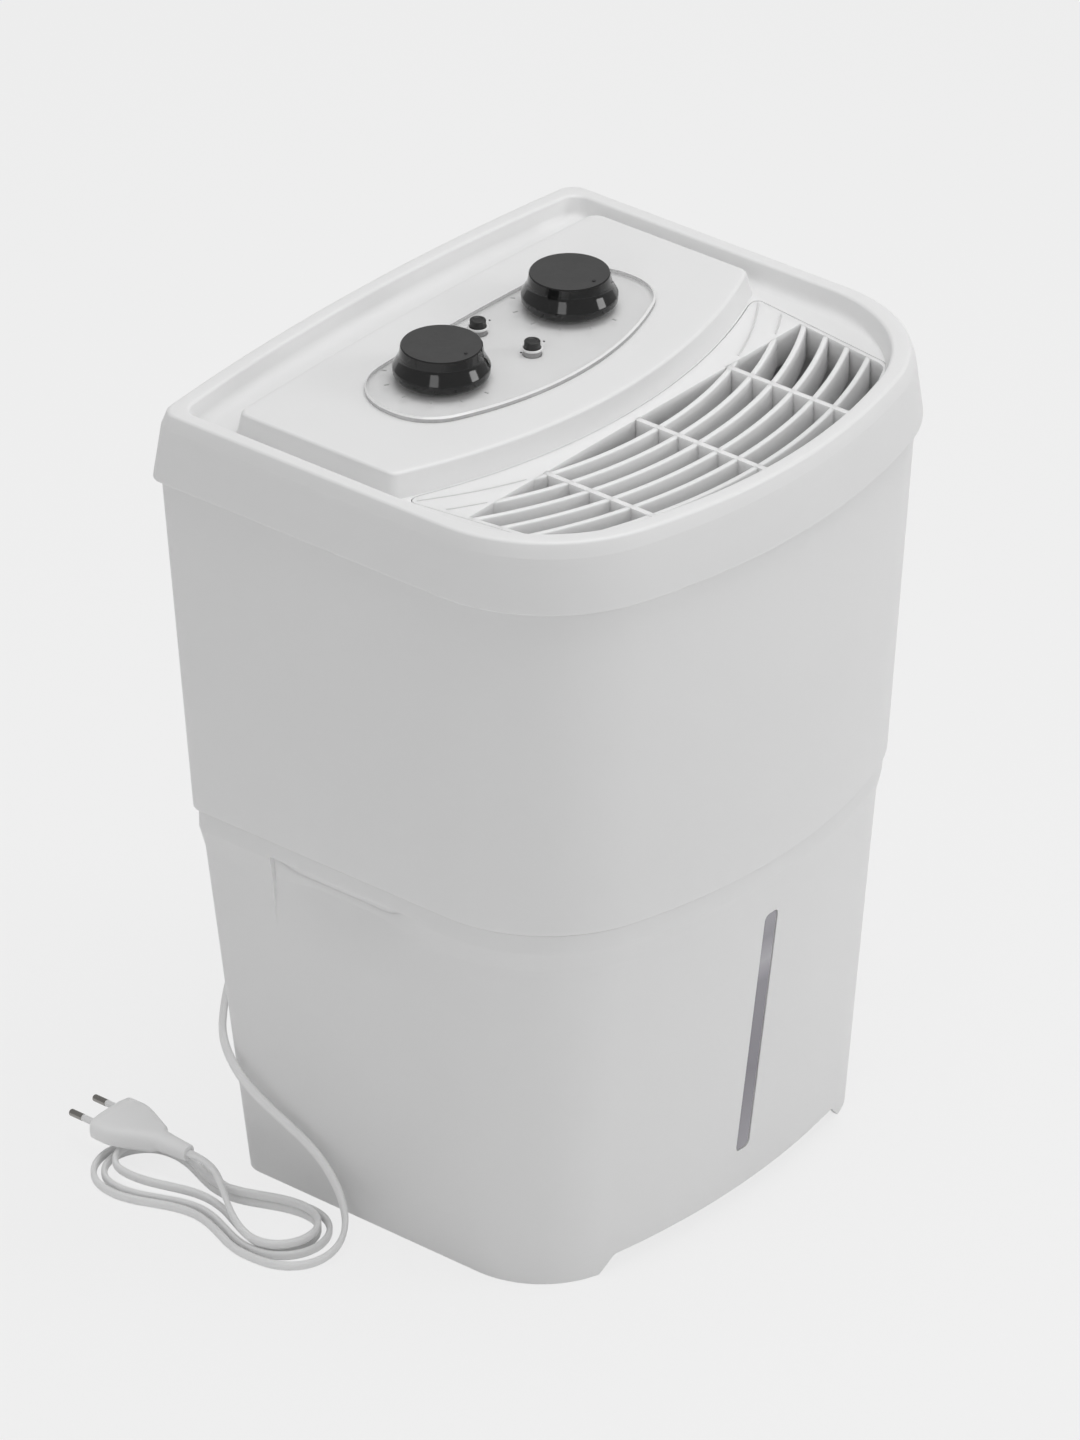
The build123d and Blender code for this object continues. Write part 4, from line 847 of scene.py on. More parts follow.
def flat(loops, z):
    """Flat area at a height between closed loops, the first one outside."""
    shape = bmesh.new()
    edges = []
    for loop in loops:
        corners = [shape.verts.new((x, y, z)) for x, y in loop]
        edges += [shape.edges.new(pair) for pair in zip(corners, corners[1:] + corners[:1])]
    bmesh.ops.triangle_fill(shape, use_beauty=True, use_dissolve=False, edges=edges, normal=(0, 0, 1))
    shape.verts.index_update()
    vertices = [tuple(v.co) for v in shape.verts]
    faces = [tuple(v.index for v in face.verts) for face in shape.faces]
    shape.free()
    return vertices, faces


def upright(loop, z_low, z_high):
    """Upright wall on a closed loop."""
    return loft([at_height(loop, z_low), at_height(loop, z_high)])


def lathe(profile, centre, steps=ROUND_STEPS):
    """Profile of (radius, height) turned about an upright axis."""
    return loft(tiers(lambda radius: circle(centre, radius, steps), profile))


# Lid and casing


def side_x(y, grow):
    """Half width of the grille insert at a given y, let out by grow."""
    return SIDE_REAR[0] + SIDE_LEAN * (y - SIDE_REAR[1]) + grow


def side_angle(bend, centre, grow):
    """Angle from the front at which an arc about the grille's centre meets the insert's leaning side."""
    return math.asin(side_x(centre, grow) / (bend * math.hypot(1, SIDE_LEAN))) - math.atan(SIDE_LEAN)


def mirrored(half):
    """Closed outline from its right half, which starts and ends near the middle line."""
    return half + [(-x, y) for x, y in reversed(half) if x > ON_MIDDLE]


def front_edge(inset, grow):
    """Right half of the body's outline at the front, up to the rounded corner at the insert's side."""
    return [(x, y) for x, y in plan(inset) if y < 0 and 0 <= x < side_x(y, grow) - END_CORNER]


def end_turn(front, grow):
    """Rounded corner from the end of a front edge to a point on the insert's leaning side."""
    (x0, y0), (x1, y1) = front[-2:]
    reach = (side_x(y1, grow) - x1) / (x1 - x0 - SIDE_LEAN * (y1 - y0))
    corner = (x1 + (x1 - x0) * reach, y1 + (y1 - y0) * reach)
    y_end = corner[1] + END_CORNER
    return rounded([(x1, y1, 0), (*corner, END_RADIUS), (side_x(y_end, grow), y_end, 0)], steps=END_STEPS)[1:]


def insert_outline(grow):
    """Grille insert: along the rim's foot, up both sides, and back along the panel's front edge."""
    panel = plateau_outline(PLATEAU_DRAFT + INSERT_GAP - grow)
    rear = [(x, y) for x, y in panel if y < 0 and 0 <= x < side_x(y, grow) - INSERT_CORNER]
    front = front_edge(INSERT_INSET - grow, grow)
    front += end_turn(front, grow)
    y_rear = rear[-1][1] + INSERT_GAP
    turn = rounded([(*front[-1], 0), (side_x(y_rear, grow), y_rear, INSERT_RADIUS), (*rear[-1], 0)])
    return mirrored(front + turn[1:-1] + rear[::-1])


def front_arc():
    """Radius and centre of the outlet's front edge, which the vanes share."""
    half = HALF_WIDTH - RIM_FOOT
    radius = (half**2 + FRONT_BOW**2) / (2 * FRONT_BOW)
    return radius - GRILLE_EDGE, RIM_FOOT - HALF_DEPTH + radius


def opening_outline(grow):
    """Air outlet: the front edge, two leaning ends and the straight rear chord."""
    end_grow = grow - GRILLE_END_EDGE
    chord = CHORD_Y + grow
    front = front_edge(RIM_FOOT + GRILLE_EDGE, -GRILLE_END_EDGE)
    centre = Vector((0, front_arc()[1]))
    spread = []
    for point in front:
        spoke = Vector(point) - centre
        spread.append(tuple(centre + spoke * (1 + grow / spoke.length)))
    turn = end_turn(spread, end_grow)
    corner = (side_x(chord, end_grow), chord)
    end = line(turn[-1], corner, SIDE_STEPS)
    return mirrored(spread + turn[:-1] + end + line(corner, (0, chord), CHORD_STEPS))


def rim_section(foot_radius, edge):
    """Insets and heights from under the deck round the skirt and rim to the deck."""
    under = DECK_TOP - WALL
    return rounded(
        [
            (edge, under, 0),
            (WALL + SKIRT_LEAN, under, 2.0),
            (WALL, SKIRT_BOTTOM, 0.6),
            (0.0, SKIRT_BOTTOM, 0.9),
            (RIM_SHOULDER_INSET, RIM_SHOULDER, 2.4),
            (RIM_CREST_OUTER, RIM_TOP, 2.0),
            (RIM_CREST_INNER, RIM_TOP, 1.8),
            (RIM_FOOT, DECK_TOP, foot_radius),
            (edge, DECK_TOP, 0),
        ]
    )


def rim_rings():
    """Rings of the lid's rim: its foot is tight along the grille and a wide hollow at the sides and rear."""
    rings = []
    sections = rim_section(RIM_FOOT_RADIUS, DECK_EDGE), rim_section(HOLLOW_RADIUS, HOLLOW_EDGE)
    for tight, wide in zip(*sections):
        ring = []
        for (x, y), (far_x, far_y) in zip(plan(tight[0]), plan(wide[0])):
            share = smooth((y - HOLLOW_FRONT) / HOLLOW_RUN)
            z = tight[1] + (wide[1] - tight[1]) * share
            ring.append((x + (far_x - x) * share, y + (far_y - y) * share, z))
        rings.append(ring)
    return rings


def panel_holes(grow):
    """Holes of the spindles and buttons."""
    holes = [circle((side * KNOB_X, KNOB_Y), SPINDLE_HOLE + grow) for side in (-1, 1)]
    return holes + [circle((0, y), BUTTON_HOLE + grow) for y in BUTTON_YS.values()]


def make_lid():
    """Skirt, rim, sunk deck and raised panel of the lid, as one closed shell."""
    under, top, panel_under = DECK_TOP - WALL, PLATEAU_TOP, PLATEAU_TOP - WALL
    foot, border = PLATEAU_DRAFT + PLATEAU_FOOT, -PLATEAU_BORDER
    rings = rim_rings()
    hole = insert_outline(PART_GAP)
    loops = [[(x, y) for x, y, _ in rings[-1]], hole, plateau_outline(foot)]
    outside = [(foot, DECK_TOP, 0), (PLATEAU_DRAFT, DECK_TOP, 0.4), (0, top, 1.8), (border, top, 0)]
    inside = [(foot, under), (PLATEAU_DRAFT - WALL, under + 0.4), (-WALL, panel_under), (border, panel_under)]
    shapes = [loft(rings), flat(loops, DECK_TOP), flat(loops, under), upright(hole, under, DECK_TOP)]
    shapes += [loft(tiers(plateau_outline, side)) for side in (rounded(outside), inside)]
    holes = panel_holes(HOLE_EASE)
    shapes += [flat([plateau_outline(border)] + holes, z) for z in (panel_under, top)]
    shapes += [upright(loop, panel_under, top) for loop in holes]
    piece = new_piece("lid_shell", "upper_unit", ["shell"], join(*shapes))
    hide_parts("lid")


def casing_inset(z):
    """Inset of the casing's outer face at a height."""
    slope = (CASING_TOP_INSET - CASING_BOTTOM_INSET) / (SHOULDER_TOP - CASING_BOTTOM)
    return CASING_BOTTOM_INSET + slope * (z - CASING_BOTTOM)


def make_casing():
    """Drafted casing with a shoulder, a neck, a ledge that sits on the tub and an opening for the intake."""
    ledge_low = TUB_TOP + LEDGE_GAP
    ledge_high = ledge_low + LEDGE_THICK
    ledge = casing_inset(ledge_high) + WALL + LEDGE_WIDTH
    section = rounded(
        [
            (CASING_BOTTOM_INSET, CASING_BOTTOM, 0.8),
            (casing_inset(CASING_MIDDLE), CASING_MIDDLE, 0),
            (CASING_TOP_INSET, SHOULDER_TOP, 1.0),
            (NECK_INSET, SHOULDER_TOP, 0.6),
            (NECK_INSET, NECK_TOP, 0.6),
            (NECK_INSET + WALL, NECK_TOP, 0.6),
            (NECK_INSET + WALL, SHOULDER_TOP - WALL, 1.0),
            (CASING_TOP_INSET + WALL, SHOULDER_TOP - WALL, 1.0),
            (casing_inset(ledge_high) + WALL, ledge_high, 0.4),
            (ledge, ledge_high, 0.4),
            (ledge, ledge_low, 0.4),
            (casing_inset(ledge_low) + WALL, ledge_low, 0.4),
            (CASING_BOTTOM_INSET + WALL, CASING_BOTTOM, 0.6),
        ],
        closed=True,
    )
    piece = new_piece("casing_shell", "upper_unit", ["shell"], loft(tiers(plan, section), closed=True))
    ends = [(-1, INTAKE_BOTTOM), (1, INTAKE_BOTTOM), (1, INTAKE_TOP), (-1, INTAKE_TOP)]
    intake = rounded([(side * INTAKE_HALF, z, INTAKE_CORNER) for side, z in ends], closed=True)
    cut(piece, capped(at_depths(intake, INTAKE_CUT)))
    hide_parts("casing")


# Tub


def tub_front(z):
    """Place of the tub's front face in the middle, below the waist."""
    inset = TUB_FOOT_INSET + (TUB_WAIST_INSET - TUB_FOOT_INSET) * z / WAIST
    return inset - HALF_DEPTH + FOOT_SETBACK * (1 - z / WAIST)


def recess_depth(y, z):
    """How far a finger recess goes in at a point of the side wall."""
    if z > RECESS_TOP or z < RECESS_BOTTOM:
        return 0.0
    rise = min(1.0, (z - RECESS_BOTTOM) / (RECESS_TOP - RECESS_LIP - RECESS_BOTTOM))
    to_rear = RECESS_CENTRE + RECESS_HALF - y
    to_front = RECESS_HALF - RECESS_CENTRE + y
    rear = RECESS_STEP * (to_rear > 0) + (1 - RECESS_STEP) * smooth(to_rear / RECESS_REAR_RUN)
    return RECESS_DEPTH * (rise**RECESS_POWER) * rear * smooth(to_front / RECESS_FRONT_RUN)


def tub_outer():
    """Insets and heights of the tub's outer face, from the foot to the rim."""
    return rounded(
        [
            (TUB_FOOT_INSET + TUB_EDGE, 0.0, 0),
            (TUB_FOOT_INSET, TUB_EDGE, 0.6),
            (TUB_WAIST_INSET, WAIST, 7.0),
            (TUB_BAND_INSET, BAND_FOOT, 3.0),
            (TUB_BAND_INSET, BAND_TOP - 0.8, 0),
            (TUB_BAND_INSET + 0.5, BAND_TOP - 0.2, 0),
            (TUB_RIM_INSET, BAND_TOP, 0),
            (TUB_RIM_INSET, TUB_TOP - TUB_EDGE, 0),
            (TUB_RIM_INSET + 0.3, TUB_TOP - 0.3, 0),
            (TUB_RIM_INSET + TUB_EDGE, TUB_TOP, 0),
        ],
        steps=6,
    )


def tub_outer_inset(z):
    """Inset of the tub's outer face at a height, read off its section."""
    section = tub_outer()
    for (inset_low, low), (inset_high, high) in zip(section, section[1:]):
        if low <= z <= high and high > low:
            return inset_low + (inset_high - inset_low) * (z - low) / (high - low)
    return section[-1][0]


def tub_ring(z, wall=0.0, recess_wall=0.0):
    """Ring of the tub's outer face, or of its inner face a wall further in, with the finger recesses."""
    ring = []
    for x, y in tub_plan(tub_outer_inset(z) + wall, z):
        side = math.copysign(1.0, x)
        depth = recess_depth(y, z + recess_wall) if abs(x) > HALF_WIDTH - SIDE_ZONE else 0.0
        ring.append((x - side * depth, y, z))
    return ring


def make_tub_shell():
    """Drafted tub with rim band, finger recesses, foot arch and window slot, and its floor."""
    fine = [WAIST * i / TUB_RINGS for i in range(TUB_RINGS)]
    heights = {round(z, 2) for _, z in tub_outer()} | {round(z, 2) for z in fine if z > 2 * TUB_EDGE}
    heights = sorted(heights | EXTRA_RINGS)
    inner_heights = [z for z in reversed(heights) if TUB_FLOOR + FLOOR_RISE < z < TUB_TOP - TUB_RIM_RUN]
    rings = [tub_ring(z) for z in heights]
    rings += [tub_ring(z, TUB_WALL, RECESS_WALL) for z in [TUB_TOP, TUB_TOP - TUB_EDGE] + inner_heights]
    floor_inset = tub_outer_inset(TUB_FLOOR) + TUB_WALL
    floor_edge = floor_inset + FLOOR_BEND
    under = TUB_FLOOR - TUB_WALL
    corner = (floor_inset, TUB_FLOOR, FLOOR_RADIUS)
    inside = rounded([(floor_inset, TUB_FLOOR + FLOOR_RISE, 0), corner, (floor_edge, TUB_FLOOR, 0)])
    below = [(floor_edge, under), (floor_inset + FLOOR_STEP, under), (TUB_FOOT_INSET + TUB_WALL, 0.0)]
    rings += [at_height(tub_plan(inset, z), z) for inset, z in inside + below]
    piece = new_piece("tub_shell", "tank", ["tub"], loft(rings, closed=True))
    right = [(ARCH_HALF, z, 0) for z in ARCH_FEET] + [(ARCH_HALF - ARCH_SLANT, ARCH_RISE, ARCH_CORNER)]
    arch = rounded(right + [(-x, z, radius) for x, z, radius in reversed(right)], closed=True)
    cut(piece, capped(at_depths(arch, ARCH_CUT)), capped(window_rings(WINDOW_SLOT)))
    edge = tub_plan(floor_edge, TUB_FLOOR)
    floor = [flat([edge], under), flat([edge], TUB_FLOOR), upright(edge, under, TUB_FLOOR)]
    new_piece("tub_floor", "tank", ["tub"], join(*floor))
    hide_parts("tank_tub")


def window_rings(section):
    """Rings of a section round the level window's slot, in the plane of the leaning front."""
    middle = (WINDOW_BOTTOM + WINDOW_TOP) / 2
    half_height = (WINDOW_TOP - WINDOW_BOTTOM) / 2
    lean = math.atan2(tub_front(WINDOW_BOTTOM) - tub_front(WINDOW_TOP), WINDOW_TOP - WINDOW_BOTTOM)
    up = Vector((0, -math.sin(lean), math.cos(lean)))
    out = Vector((0, -math.cos(lean), -math.sin(lean)))
    centre = Vector((0, tub_front(middle), middle))
    rings = []
    for shrink, depth in section:
        half, tall = WINDOW_WIDTH / 2 - shrink, half_height - shrink
        radius = max(WINDOW_LEAST_CORNER, WINDOW_CORNER - shrink)
        ends = [(-half, -tall, radius), (half, -tall, radius), (half, tall, radius), (-half, tall, radius)]
        loop = rounded(ends, closed=True, steps=WINDOW_STEPS)
        rings.append([tuple(centre + Vector((x, 0, 0)) + up * z + out * depth) for x, z in loop])
    return rings


def make_window():
    """Smoky pane with a flange inside the tub, and the seal between flange and wall."""
    piece = new_piece("level_pane", "tank", ["pane"], capped(window_rings(PANE)))
    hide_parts("level_window")
    seal = new_piece("pane_seal", "tank", ["gasket"], loft(window_rings(SEAL), closed=True))
    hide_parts("window_gasket")


# Outlet grille


def geometry_tree(name, inputs):
    """Empty Geometry Nodes graph with named number inputs, and those inputs as values."""
    tree = bpy.data.node_groups.new(name, "GeometryNodeTree")
    tree.interface.new_socket("Geometry", in_out="OUTPUT", socket_type="NodeSocketGeometry")
    for key, value in inputs.items():
        kind = "NodeSocketInt" if isinstance(value, int) else "NodeSocketFloat"
        tree.interface.new_socket(key, in_out="INPUT", socket_type=kind)
    graph = Graph(tree)
    source = tree.nodes.new("NodeGroupInput")
    return graph, {key: Value(graph, source.outputs[key]) for key in inputs}


def end_tree(graph, geometry, finish):
    """Last nodes of a tree: real geometry with its finish."""
    real = graph.node("GeometryNodeRealizeInstances", {0: geometry})
    sockets = {"Geometry": real, "Material": FINISHES[finish].material}
    done = graph.node("GeometryNodeSetMaterial", sockets)
    graph.feed(graph.tree.nodes.new("NodeGroupOutput").inputs[0], done)


def grown(graph, inputs, name, body, finish):
    """Runs a tree on a new object with these inputs and leaves a plain mesh that rides on a body."""
    carrier = linked("carrier", bpy.data.meshes.new("carrier"))
    modifier = carrier.modifiers.new("grow", "NODES")
    modifier.node_group = graph.tree
    for item in graph.tree.interface.items_tree:
        if item.in_out == "INPUT":
            modifier[item.identifier] = inputs[item.name]
    mesh = evaluated_mesh(carrier)
    bpy.data.meshes.remove(carrier.data)
    outward(mesh)
    mesh.materials.clear()
    return finish_piece(mesh, name, body, [finish])


def make_vanes():
    """Curved vanes on one centre; each ends at the leaning side or at the rear chord."""
    radius, centre = front_arc()
    inputs = {
        "Count": VANE_COUNT,
        "Outer radius": radius * MM,
        "Centre": centre * MM,
        "Pitch": VANE_PITCH * MM,
        "Thickness": VANE_THICK * MM,
        "Depth": VANE_DEPTH * MM,
        "Top": (DECK_TOP - VANE_SINK) * MM,
        "Chord": CHORD_Y * MM,
        "Side": side_x(centre, VANE_SIDE_REACH - GRILLE_END_EDGE) * MM,
    }
    graph, size = geometry_tree("curved_vanes", inputs)
    points = graph.node("GeometryNodeMeshLine", {"Count": size["Count"]})
    number = graph.node("GeometryNodeInputIndex") + 1
    numbered = graph.node(
        "GeometryNodeStoreNamedAttribute",
        {"Geometry": points, "Name": "vane", "Value": number},
        data_type="FLOAT",
        domain="POINT",
    )
    strand = graph.node("GeometryNodeCurvePrimitiveLine")
    strand = graph.node("GeometryNodeResampleCurve", {"Curve": strand, "Count": VANE_POINTS})
    strands = graph.node("GeometryNodeInstanceOnPoints", {"Points": numbered, "Instance": strand})
    strands = graph.node("GeometryNodeRealizeInstances", {0: strands})
    vane = graph.node("GeometryNodeInputNamedAttribute", {"Name": "vane"}, data_type="FLOAT")
    bend = size["Outer radius"] - size["Pitch"] * vane
    to_side = (size["Side"] / (bend * math.hypot(1, SIDE_LEAN))).turned("ARCSINE") - math.atan(SIDE_LEAN)
    chord_reach = size["Centre"] - size["Chord"] - VANE_CHORD_GAP * MM
    to_chord = (chord_reach / bend).least(1.0).turned("ARCCOSINE")
    angle = (graph.node("GeometryNodeSplineParameter") * 2 - 1) * to_side.least(to_chord)
    place = graph.vector(
        bend * angle.turned("SINE"),
        size["Centre"] - bend * angle.turned("COSINE"),
        size["Top"] - size["Depth"] * 0.5,
    )
    curves = graph.node("GeometryNodeSetPosition", {"Geometry": strands, "Position": place})
    curves = graph.node("GeometryNodeSetCurveNormal", {0: curves}, mode="Z_UP")
    sockets = {"Width": size["Thickness"], "Height": size["Depth"]}
    edge = graph.node("GeometryNodeCurvePrimitiveQuadrilateral", sockets)
    sockets = {"Curve": edge, "Radius": VANE_ROUND * MM, "Count": VANE_ROUND_STEPS}
    edge = graph.node("GeometryNodeFilletCurve", sockets, mode="POLY")
    sockets = {"Curve": curves, "Profile Curve": edge, "Fill Caps": True}
    end_tree(graph, graph.node("GeometryNodeCurveToMesh", sockets), "grille")
    grown(graph, inputs, "grille_vanes", "upper_unit", "grille")


def make_grille():
    """Insert plate with its collar, cross bars and the ridges that carry the vanes' lines on."""
    low, collar_low = DECK_TOP - GRILLE_PLATE, DECK_TOP - VANE_DEPTH
    insert = insert_outline(0)
    collar = [(0, DECK_TOP), *[(grow, collar_low) for grow in OUTLET_FOOT], (OUTLET_WALL, low)]
    shapes = [flat([insert, opening_outline(0)], DECK_TOP), flat([insert, opening_outline(OUTLET_WALL)], low)]
    shapes += [upright(insert, low, DECK_TOP), loft(tiers(opening_outline, collar))]
    shapes += [bar_shape(column * BAR_SPACING) for column in (-1, 0, 1)]
    piece = new_piece("grille_insert", "upper_unit", ["grille"], join(*shapes))
    soften(piece, GRILLE_SOFTNESS)
    numbers = range(VANE_COUNT - RIDGE_COUNT + 1, VANE_COUNT + 1)
    ridges = [ridge_shape(number, side) for number in numbers for side in (-1, 1)]
    new_piece("grille_ridges", "upper_unit", ["grille"], join(*ridges))
    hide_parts("outlet_grille")


def bar_shape(x):
    """Cross bar from the outlet's front edge to its chord."""
    radius, centre = front_arc()
    front = centre - math.sqrt(radius**2 - x**2) - OUTLET_WALL / 2
    top, low = DECK_TOP - BAR_SINK, DECK_TOP - BAR_DEPTH
    half = BAR_THICK / 2
    loop = [(x - half, top), (x + half, top), (x + half - BAR_DRAFT, low), (x - half + BAR_DRAFT, low)]
    return capped(at_depths(loop, (front, CHORD_Y + OUTLET_WALL / 2)))


def ridge_shape(number, side):
    """Low ridge on the insert, from the outlet's chord to the insert's end."""
    radius, centre = front_arc()
    bend = radius - VANE_PITCH * number
    start = math.acos((centre - CHORD_Y - WALL) / bend)
    end = side_angle(bend, centre, -WALL)
    rings = []
    for i in range(RIDGE_STEPS + 1):
        angle = start + (end - start) * i / RIDGE_STEPS
        ring = []
        for across, up in RIDGE_SECTION:
            reach = bend + across * RIDGE_WIDTH
            z = DECK_TOP + up * RIDGE_HEIGHT
            ring.append((side * reach * math.sin(angle), centre - reach * math.cos(angle), z))
        rings.append(ring)
    return capped(rings)


# Panel


def make_plate():
    """Clear plate with a bevelled edge and holes for spindles and buttons."""
    low = PLATEAU_TOP + PLATE_SEAT
    edge = [(0, low), (0, PLATE_TOP - PLATE_BEVEL), (-PLATE_BEVEL, PLATE_TOP)]
    holes = panel_holes(0)
    shapes = [loft(tiers(plate_outline, edge))]
    shapes += [flat([plate_outline(grow)] + holes, z) for grow, z in (edge[0], edge[-1])]
    shapes += [upright(loop, low, PLATE_TOP) for loop in holes]
    # Flat faces are clear; upright cut faces get the painted shade and the bevel the painted highlight
    piece = new_piece(
        "panel_sheet",
        "upper_unit",
        ["sheet", "sheet_edge_painted_shade", "sheet_bevel_painted_highlight"],
        join(*shapes),
        pick=lambda centre, normal: 0 if abs(normal.z) > 0.9 else 2 if normal.z > 0.3 else 1,
    )
    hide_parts("panel_plate")


def make_marks():
    """Dial marks on the plate: short raised strokes round each knob, and small pips by the buttons."""
    inputs = {
        "Count": MARK_COUNT,
        "Knob": KNOB_X * MM,
        "Depth": KNOB_Y * MM,
        "Radius": MARK_RADIUS * MM,
        "Start": math.radians(MARK_START),
        "Step": math.radians(MARK_STEP),
        "Length": MARK_LENGTH * MM,
        "Width": MARK_WIDTH * MM,
        "Height": MARK_HEIGHT * MM,
        "Base": PLATE_TOP * MM,
    }
    graph, size = geometry_tree("dial_marks", inputs)
    points = graph.node("GeometryNodeMeshLine", {"Count": size["Count"]})
    angle = size["Start"] + size["Step"] * graph.node("GeometryNodeInputIndex")
    place = graph.vector(
        size["Knob"] + size["Radius"] * angle.turned("COSINE"),
        size["Depth"] + size["Radius"] * angle.turned("SINE"),
        size["Base"] + size["Height"] * MARK_SEAT,
    )
    points = graph.node("GeometryNodeSetPosition", {"Geometry": points, "Position": place})
    shape = graph.vector(size["Length"], size["Width"], size["Height"])
    stroke = graph.node("GeometryNodeMeshCube", {"Size": shape})
    sockets = {"Points": points, "Instance": stroke, "Rotation": graph.vector(z=angle)}
    end_tree(graph, graph.node("GeometryNodeInstanceOnPoints", sockets), "mark")
    for side, hand in ((-1, "left"), (1, "right")):
        grown(graph, inputs | {"Knob": side * KNOB_X * MM}, f"{hand}_dial_marks", "upper_unit", "mark")
    low, high = PLATE_TOP - PIP_SINK, PLATE_TOP + PIP_HEIGHT
    pip = [(0, low), (PIP_RADIUS, low), (PIP_RADIUS, high), (0, high)]
    new_piece("panel_pips", "upper_unit", ["button"], join(*[lathe(pip, place, PIP_STEPS) for place in PIPS]))


def make_knob(side, hand):
    """Flared knob: upright lip, drawn-in flank and a flat satin top with a fine rim."""
    profile = rounded(
        [
            (0, KNOB_BOTTOM + 0.4, 0),
            (KNOB_RADIUS - 1.2, KNOB_BOTTOM + 0.2, 0.8),
            (KNOB_RADIUS, KNOB_BOTTOM + 1.8, 1.0),
            (KNOB_RADIUS + 0.1, KNOB_BOTTOM + 5.2, 1.6),
            (KNOB_TOP_RADIUS + 0.9, KNOB_BOTTOM + 11.0, 9.0),
            (KNOB_TOP_RADIUS, KNOB_TOP - 0.6, 0),
            (KNOB_TOP_RADIUS - 0.5, KNOB_TOP, 0),
            (KNOB_TOP_RADIUS - 2.0, KNOB_TOP, 0),
            (KNOB_TOP_RADIUS - 4.0, KNOB_TOP - 0.15, 0),
            (0, KNOB_TOP - 0.35, 0),
        ],
        steps=6,
    )
    piece = new_piece(
        f"{hand}_knob_turned",
        f"knob_{hand}",
        ["knob_gloss", "knob_satin"],
        lathe(profile, (side * KNOB_X, KNOB_Y), KNOB_STEPS),
        sharp=KNOB_SHARP,
        pick=lambda centre, normal: 1 if centre.z > KNOB_TOP - 0.4 and normal.z > 0.8 else 0,
    )
    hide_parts(f"{hand}_knob")


def make_button(place):
    """Push button with a dished top."""
    low, dish = PLATE_TOP - BUTTON_DEPTH, BUTTON_TOP - BUTTON_DISH
    profile = rounded(
        [
            (0, low, 0),
            (BUTTON_RADIUS, low, 0),
            (BUTTON_RADIUS, BUTTON_TOP, 0.7),
            (BUTTON_RADIUS - 1.4, BUTTON_TOP, 0.3),
            (BUTTON_RADIUS - 1.9, dish, 0.3),
            (0, dish, 0),
        ]
    )
    shape = lathe(profile, (0, BUTTON_YS[place]))
    piece = new_piece(f"{place}_button_cap", f"button_{place}", ["button"], shape)
    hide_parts(f"{place}_button")


def make_collars():
    """White rings round the buttons."""
    start, top = (BUTTON_HOLE, PLATE_TOP, 0), PLATE_TOP + COLLAR_HEIGHT
    outside = [(COLLAR_RADIUS, PLATE_TOP, 0), (COLLAR_RADIUS, top, 0.4)]
    profile = rounded([start, *outside, (BUTTON_HOLE, top, 0.3), start])
    shapes = [lathe(profile, (0, y)) for y in BUTTON_YS.values()]
    piece = new_piece("button_rings", "upper_unit", ["sleeve"], join(*shapes))
    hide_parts("button_collars")


# Mains lead


def hank_station(index):
    """Distance from the hank's middle line and height of one of its runs."""
    layer, step = divmod(index, HANK_PER_LAYER)
    step = step if layer == 0 else HANK_PER_LAYER - 1 - step
    offset = HANK_RADIUS - HANK_STEP * step / 2 - HANK_UPPER_SHRINK * layer
    return offset, HANK_LOW + HANK_LAYER * layer


def hank_points():
    """Control points of the hank, whose half loops are a run drawn in at the waist and a half turn."""
    points = [(HANK_X - HANK_RADIUS, HANK_Y - HANK_RUN, HANK_LOW)]
    side, way, height = -1, 1, HANK_LOW
    for index in range(HANK_HALF_TURNS):
        offset, end_height = hank_station(index)
        for i in range(1, RUN_STEPS + 1):
            t = i / RUN_STEPS
            draw = HANK_WAIST_DRAW * (1 - math.cos(2 * math.pi * t)) / 2
            x = HANK_X + side * (offset - draw)
            rise = height + (end_height - height) * t
            points.append((x, HANK_Y + way * HANK_RUN * (2 * t - 1), rise))
        height = end_height
        next_offset = hank_station(index + 1)[0]
        middle = HANK_X + side * (offset - next_offset) / 2
        radius = (offset + next_offset) / 2
        for i in range(1, TURN_STEPS):
            angle = math.pi * i / TURN_STEPS
            x = middle + side * radius * math.cos(angle) * HANK_BULGE
            y = HANK_Y + way * (HANK_RUN + radius * math.sin(angle) * HANK_BULGE)
            points.append((x, y, height))
        side, way = -side, -way
        points.append((HANK_X + side * next_offset, HANK_Y - way * HANK_RUN, height))
    x, y, z = points[-1]
    for i in range(1, RISE_STEPS):
        t = i / RISE_STEPS
        ease = (1 - math.cos(math.pi * t)) / 2
        climb = min(1, HANK_CLIMB * t)
        points.append((x + (PLUG_X - x) * ease, y + HANK_RISE * t, z + (PLUG_Z - z) * climb))
    arrival_y = PLUG_REAR_Y - PLUG_RELIEF
    return points + [(PLUG_X, arrival_y + step, PLUG_Z) for step in PLUG_ARRIVAL]


def lead_points():
    """Control points of the lead: out of the gland, down along the tub's rear corner and on to the hank."""
    x, tip, z = LEAD_EXIT
    return [
        (x, tip, z),
        (x, tip + 14, z),
        (x - 1, tip + 28, z - 6.5),
        (x - 4, tip + 37, z - 19),
        (x - 10, tip + 39, z - 36),
        (-40, 195, 186),
        (-53, 184, 168),
        (-68, 171, 150),
        (-84, 157, 133),
        (-100, 144.5, 117),
        (-116.5, 135, 103),
        (-131.5, 128, 91),
        (-144, 119, 79),
        (-149, 104, 66),
        (-148, 89, 55),
        (-147, 73, 47),
        (-147, 57, 40),
        (-148, 43, 31),
        (-151, 31.5, 20.5),
        (-159, 21, 12),
        (-171, 15, 7),
        (-184, 15.5, 4),
        (-195.5, 22, 2.8),
        (-203.5, 34, 2.7),
    ]


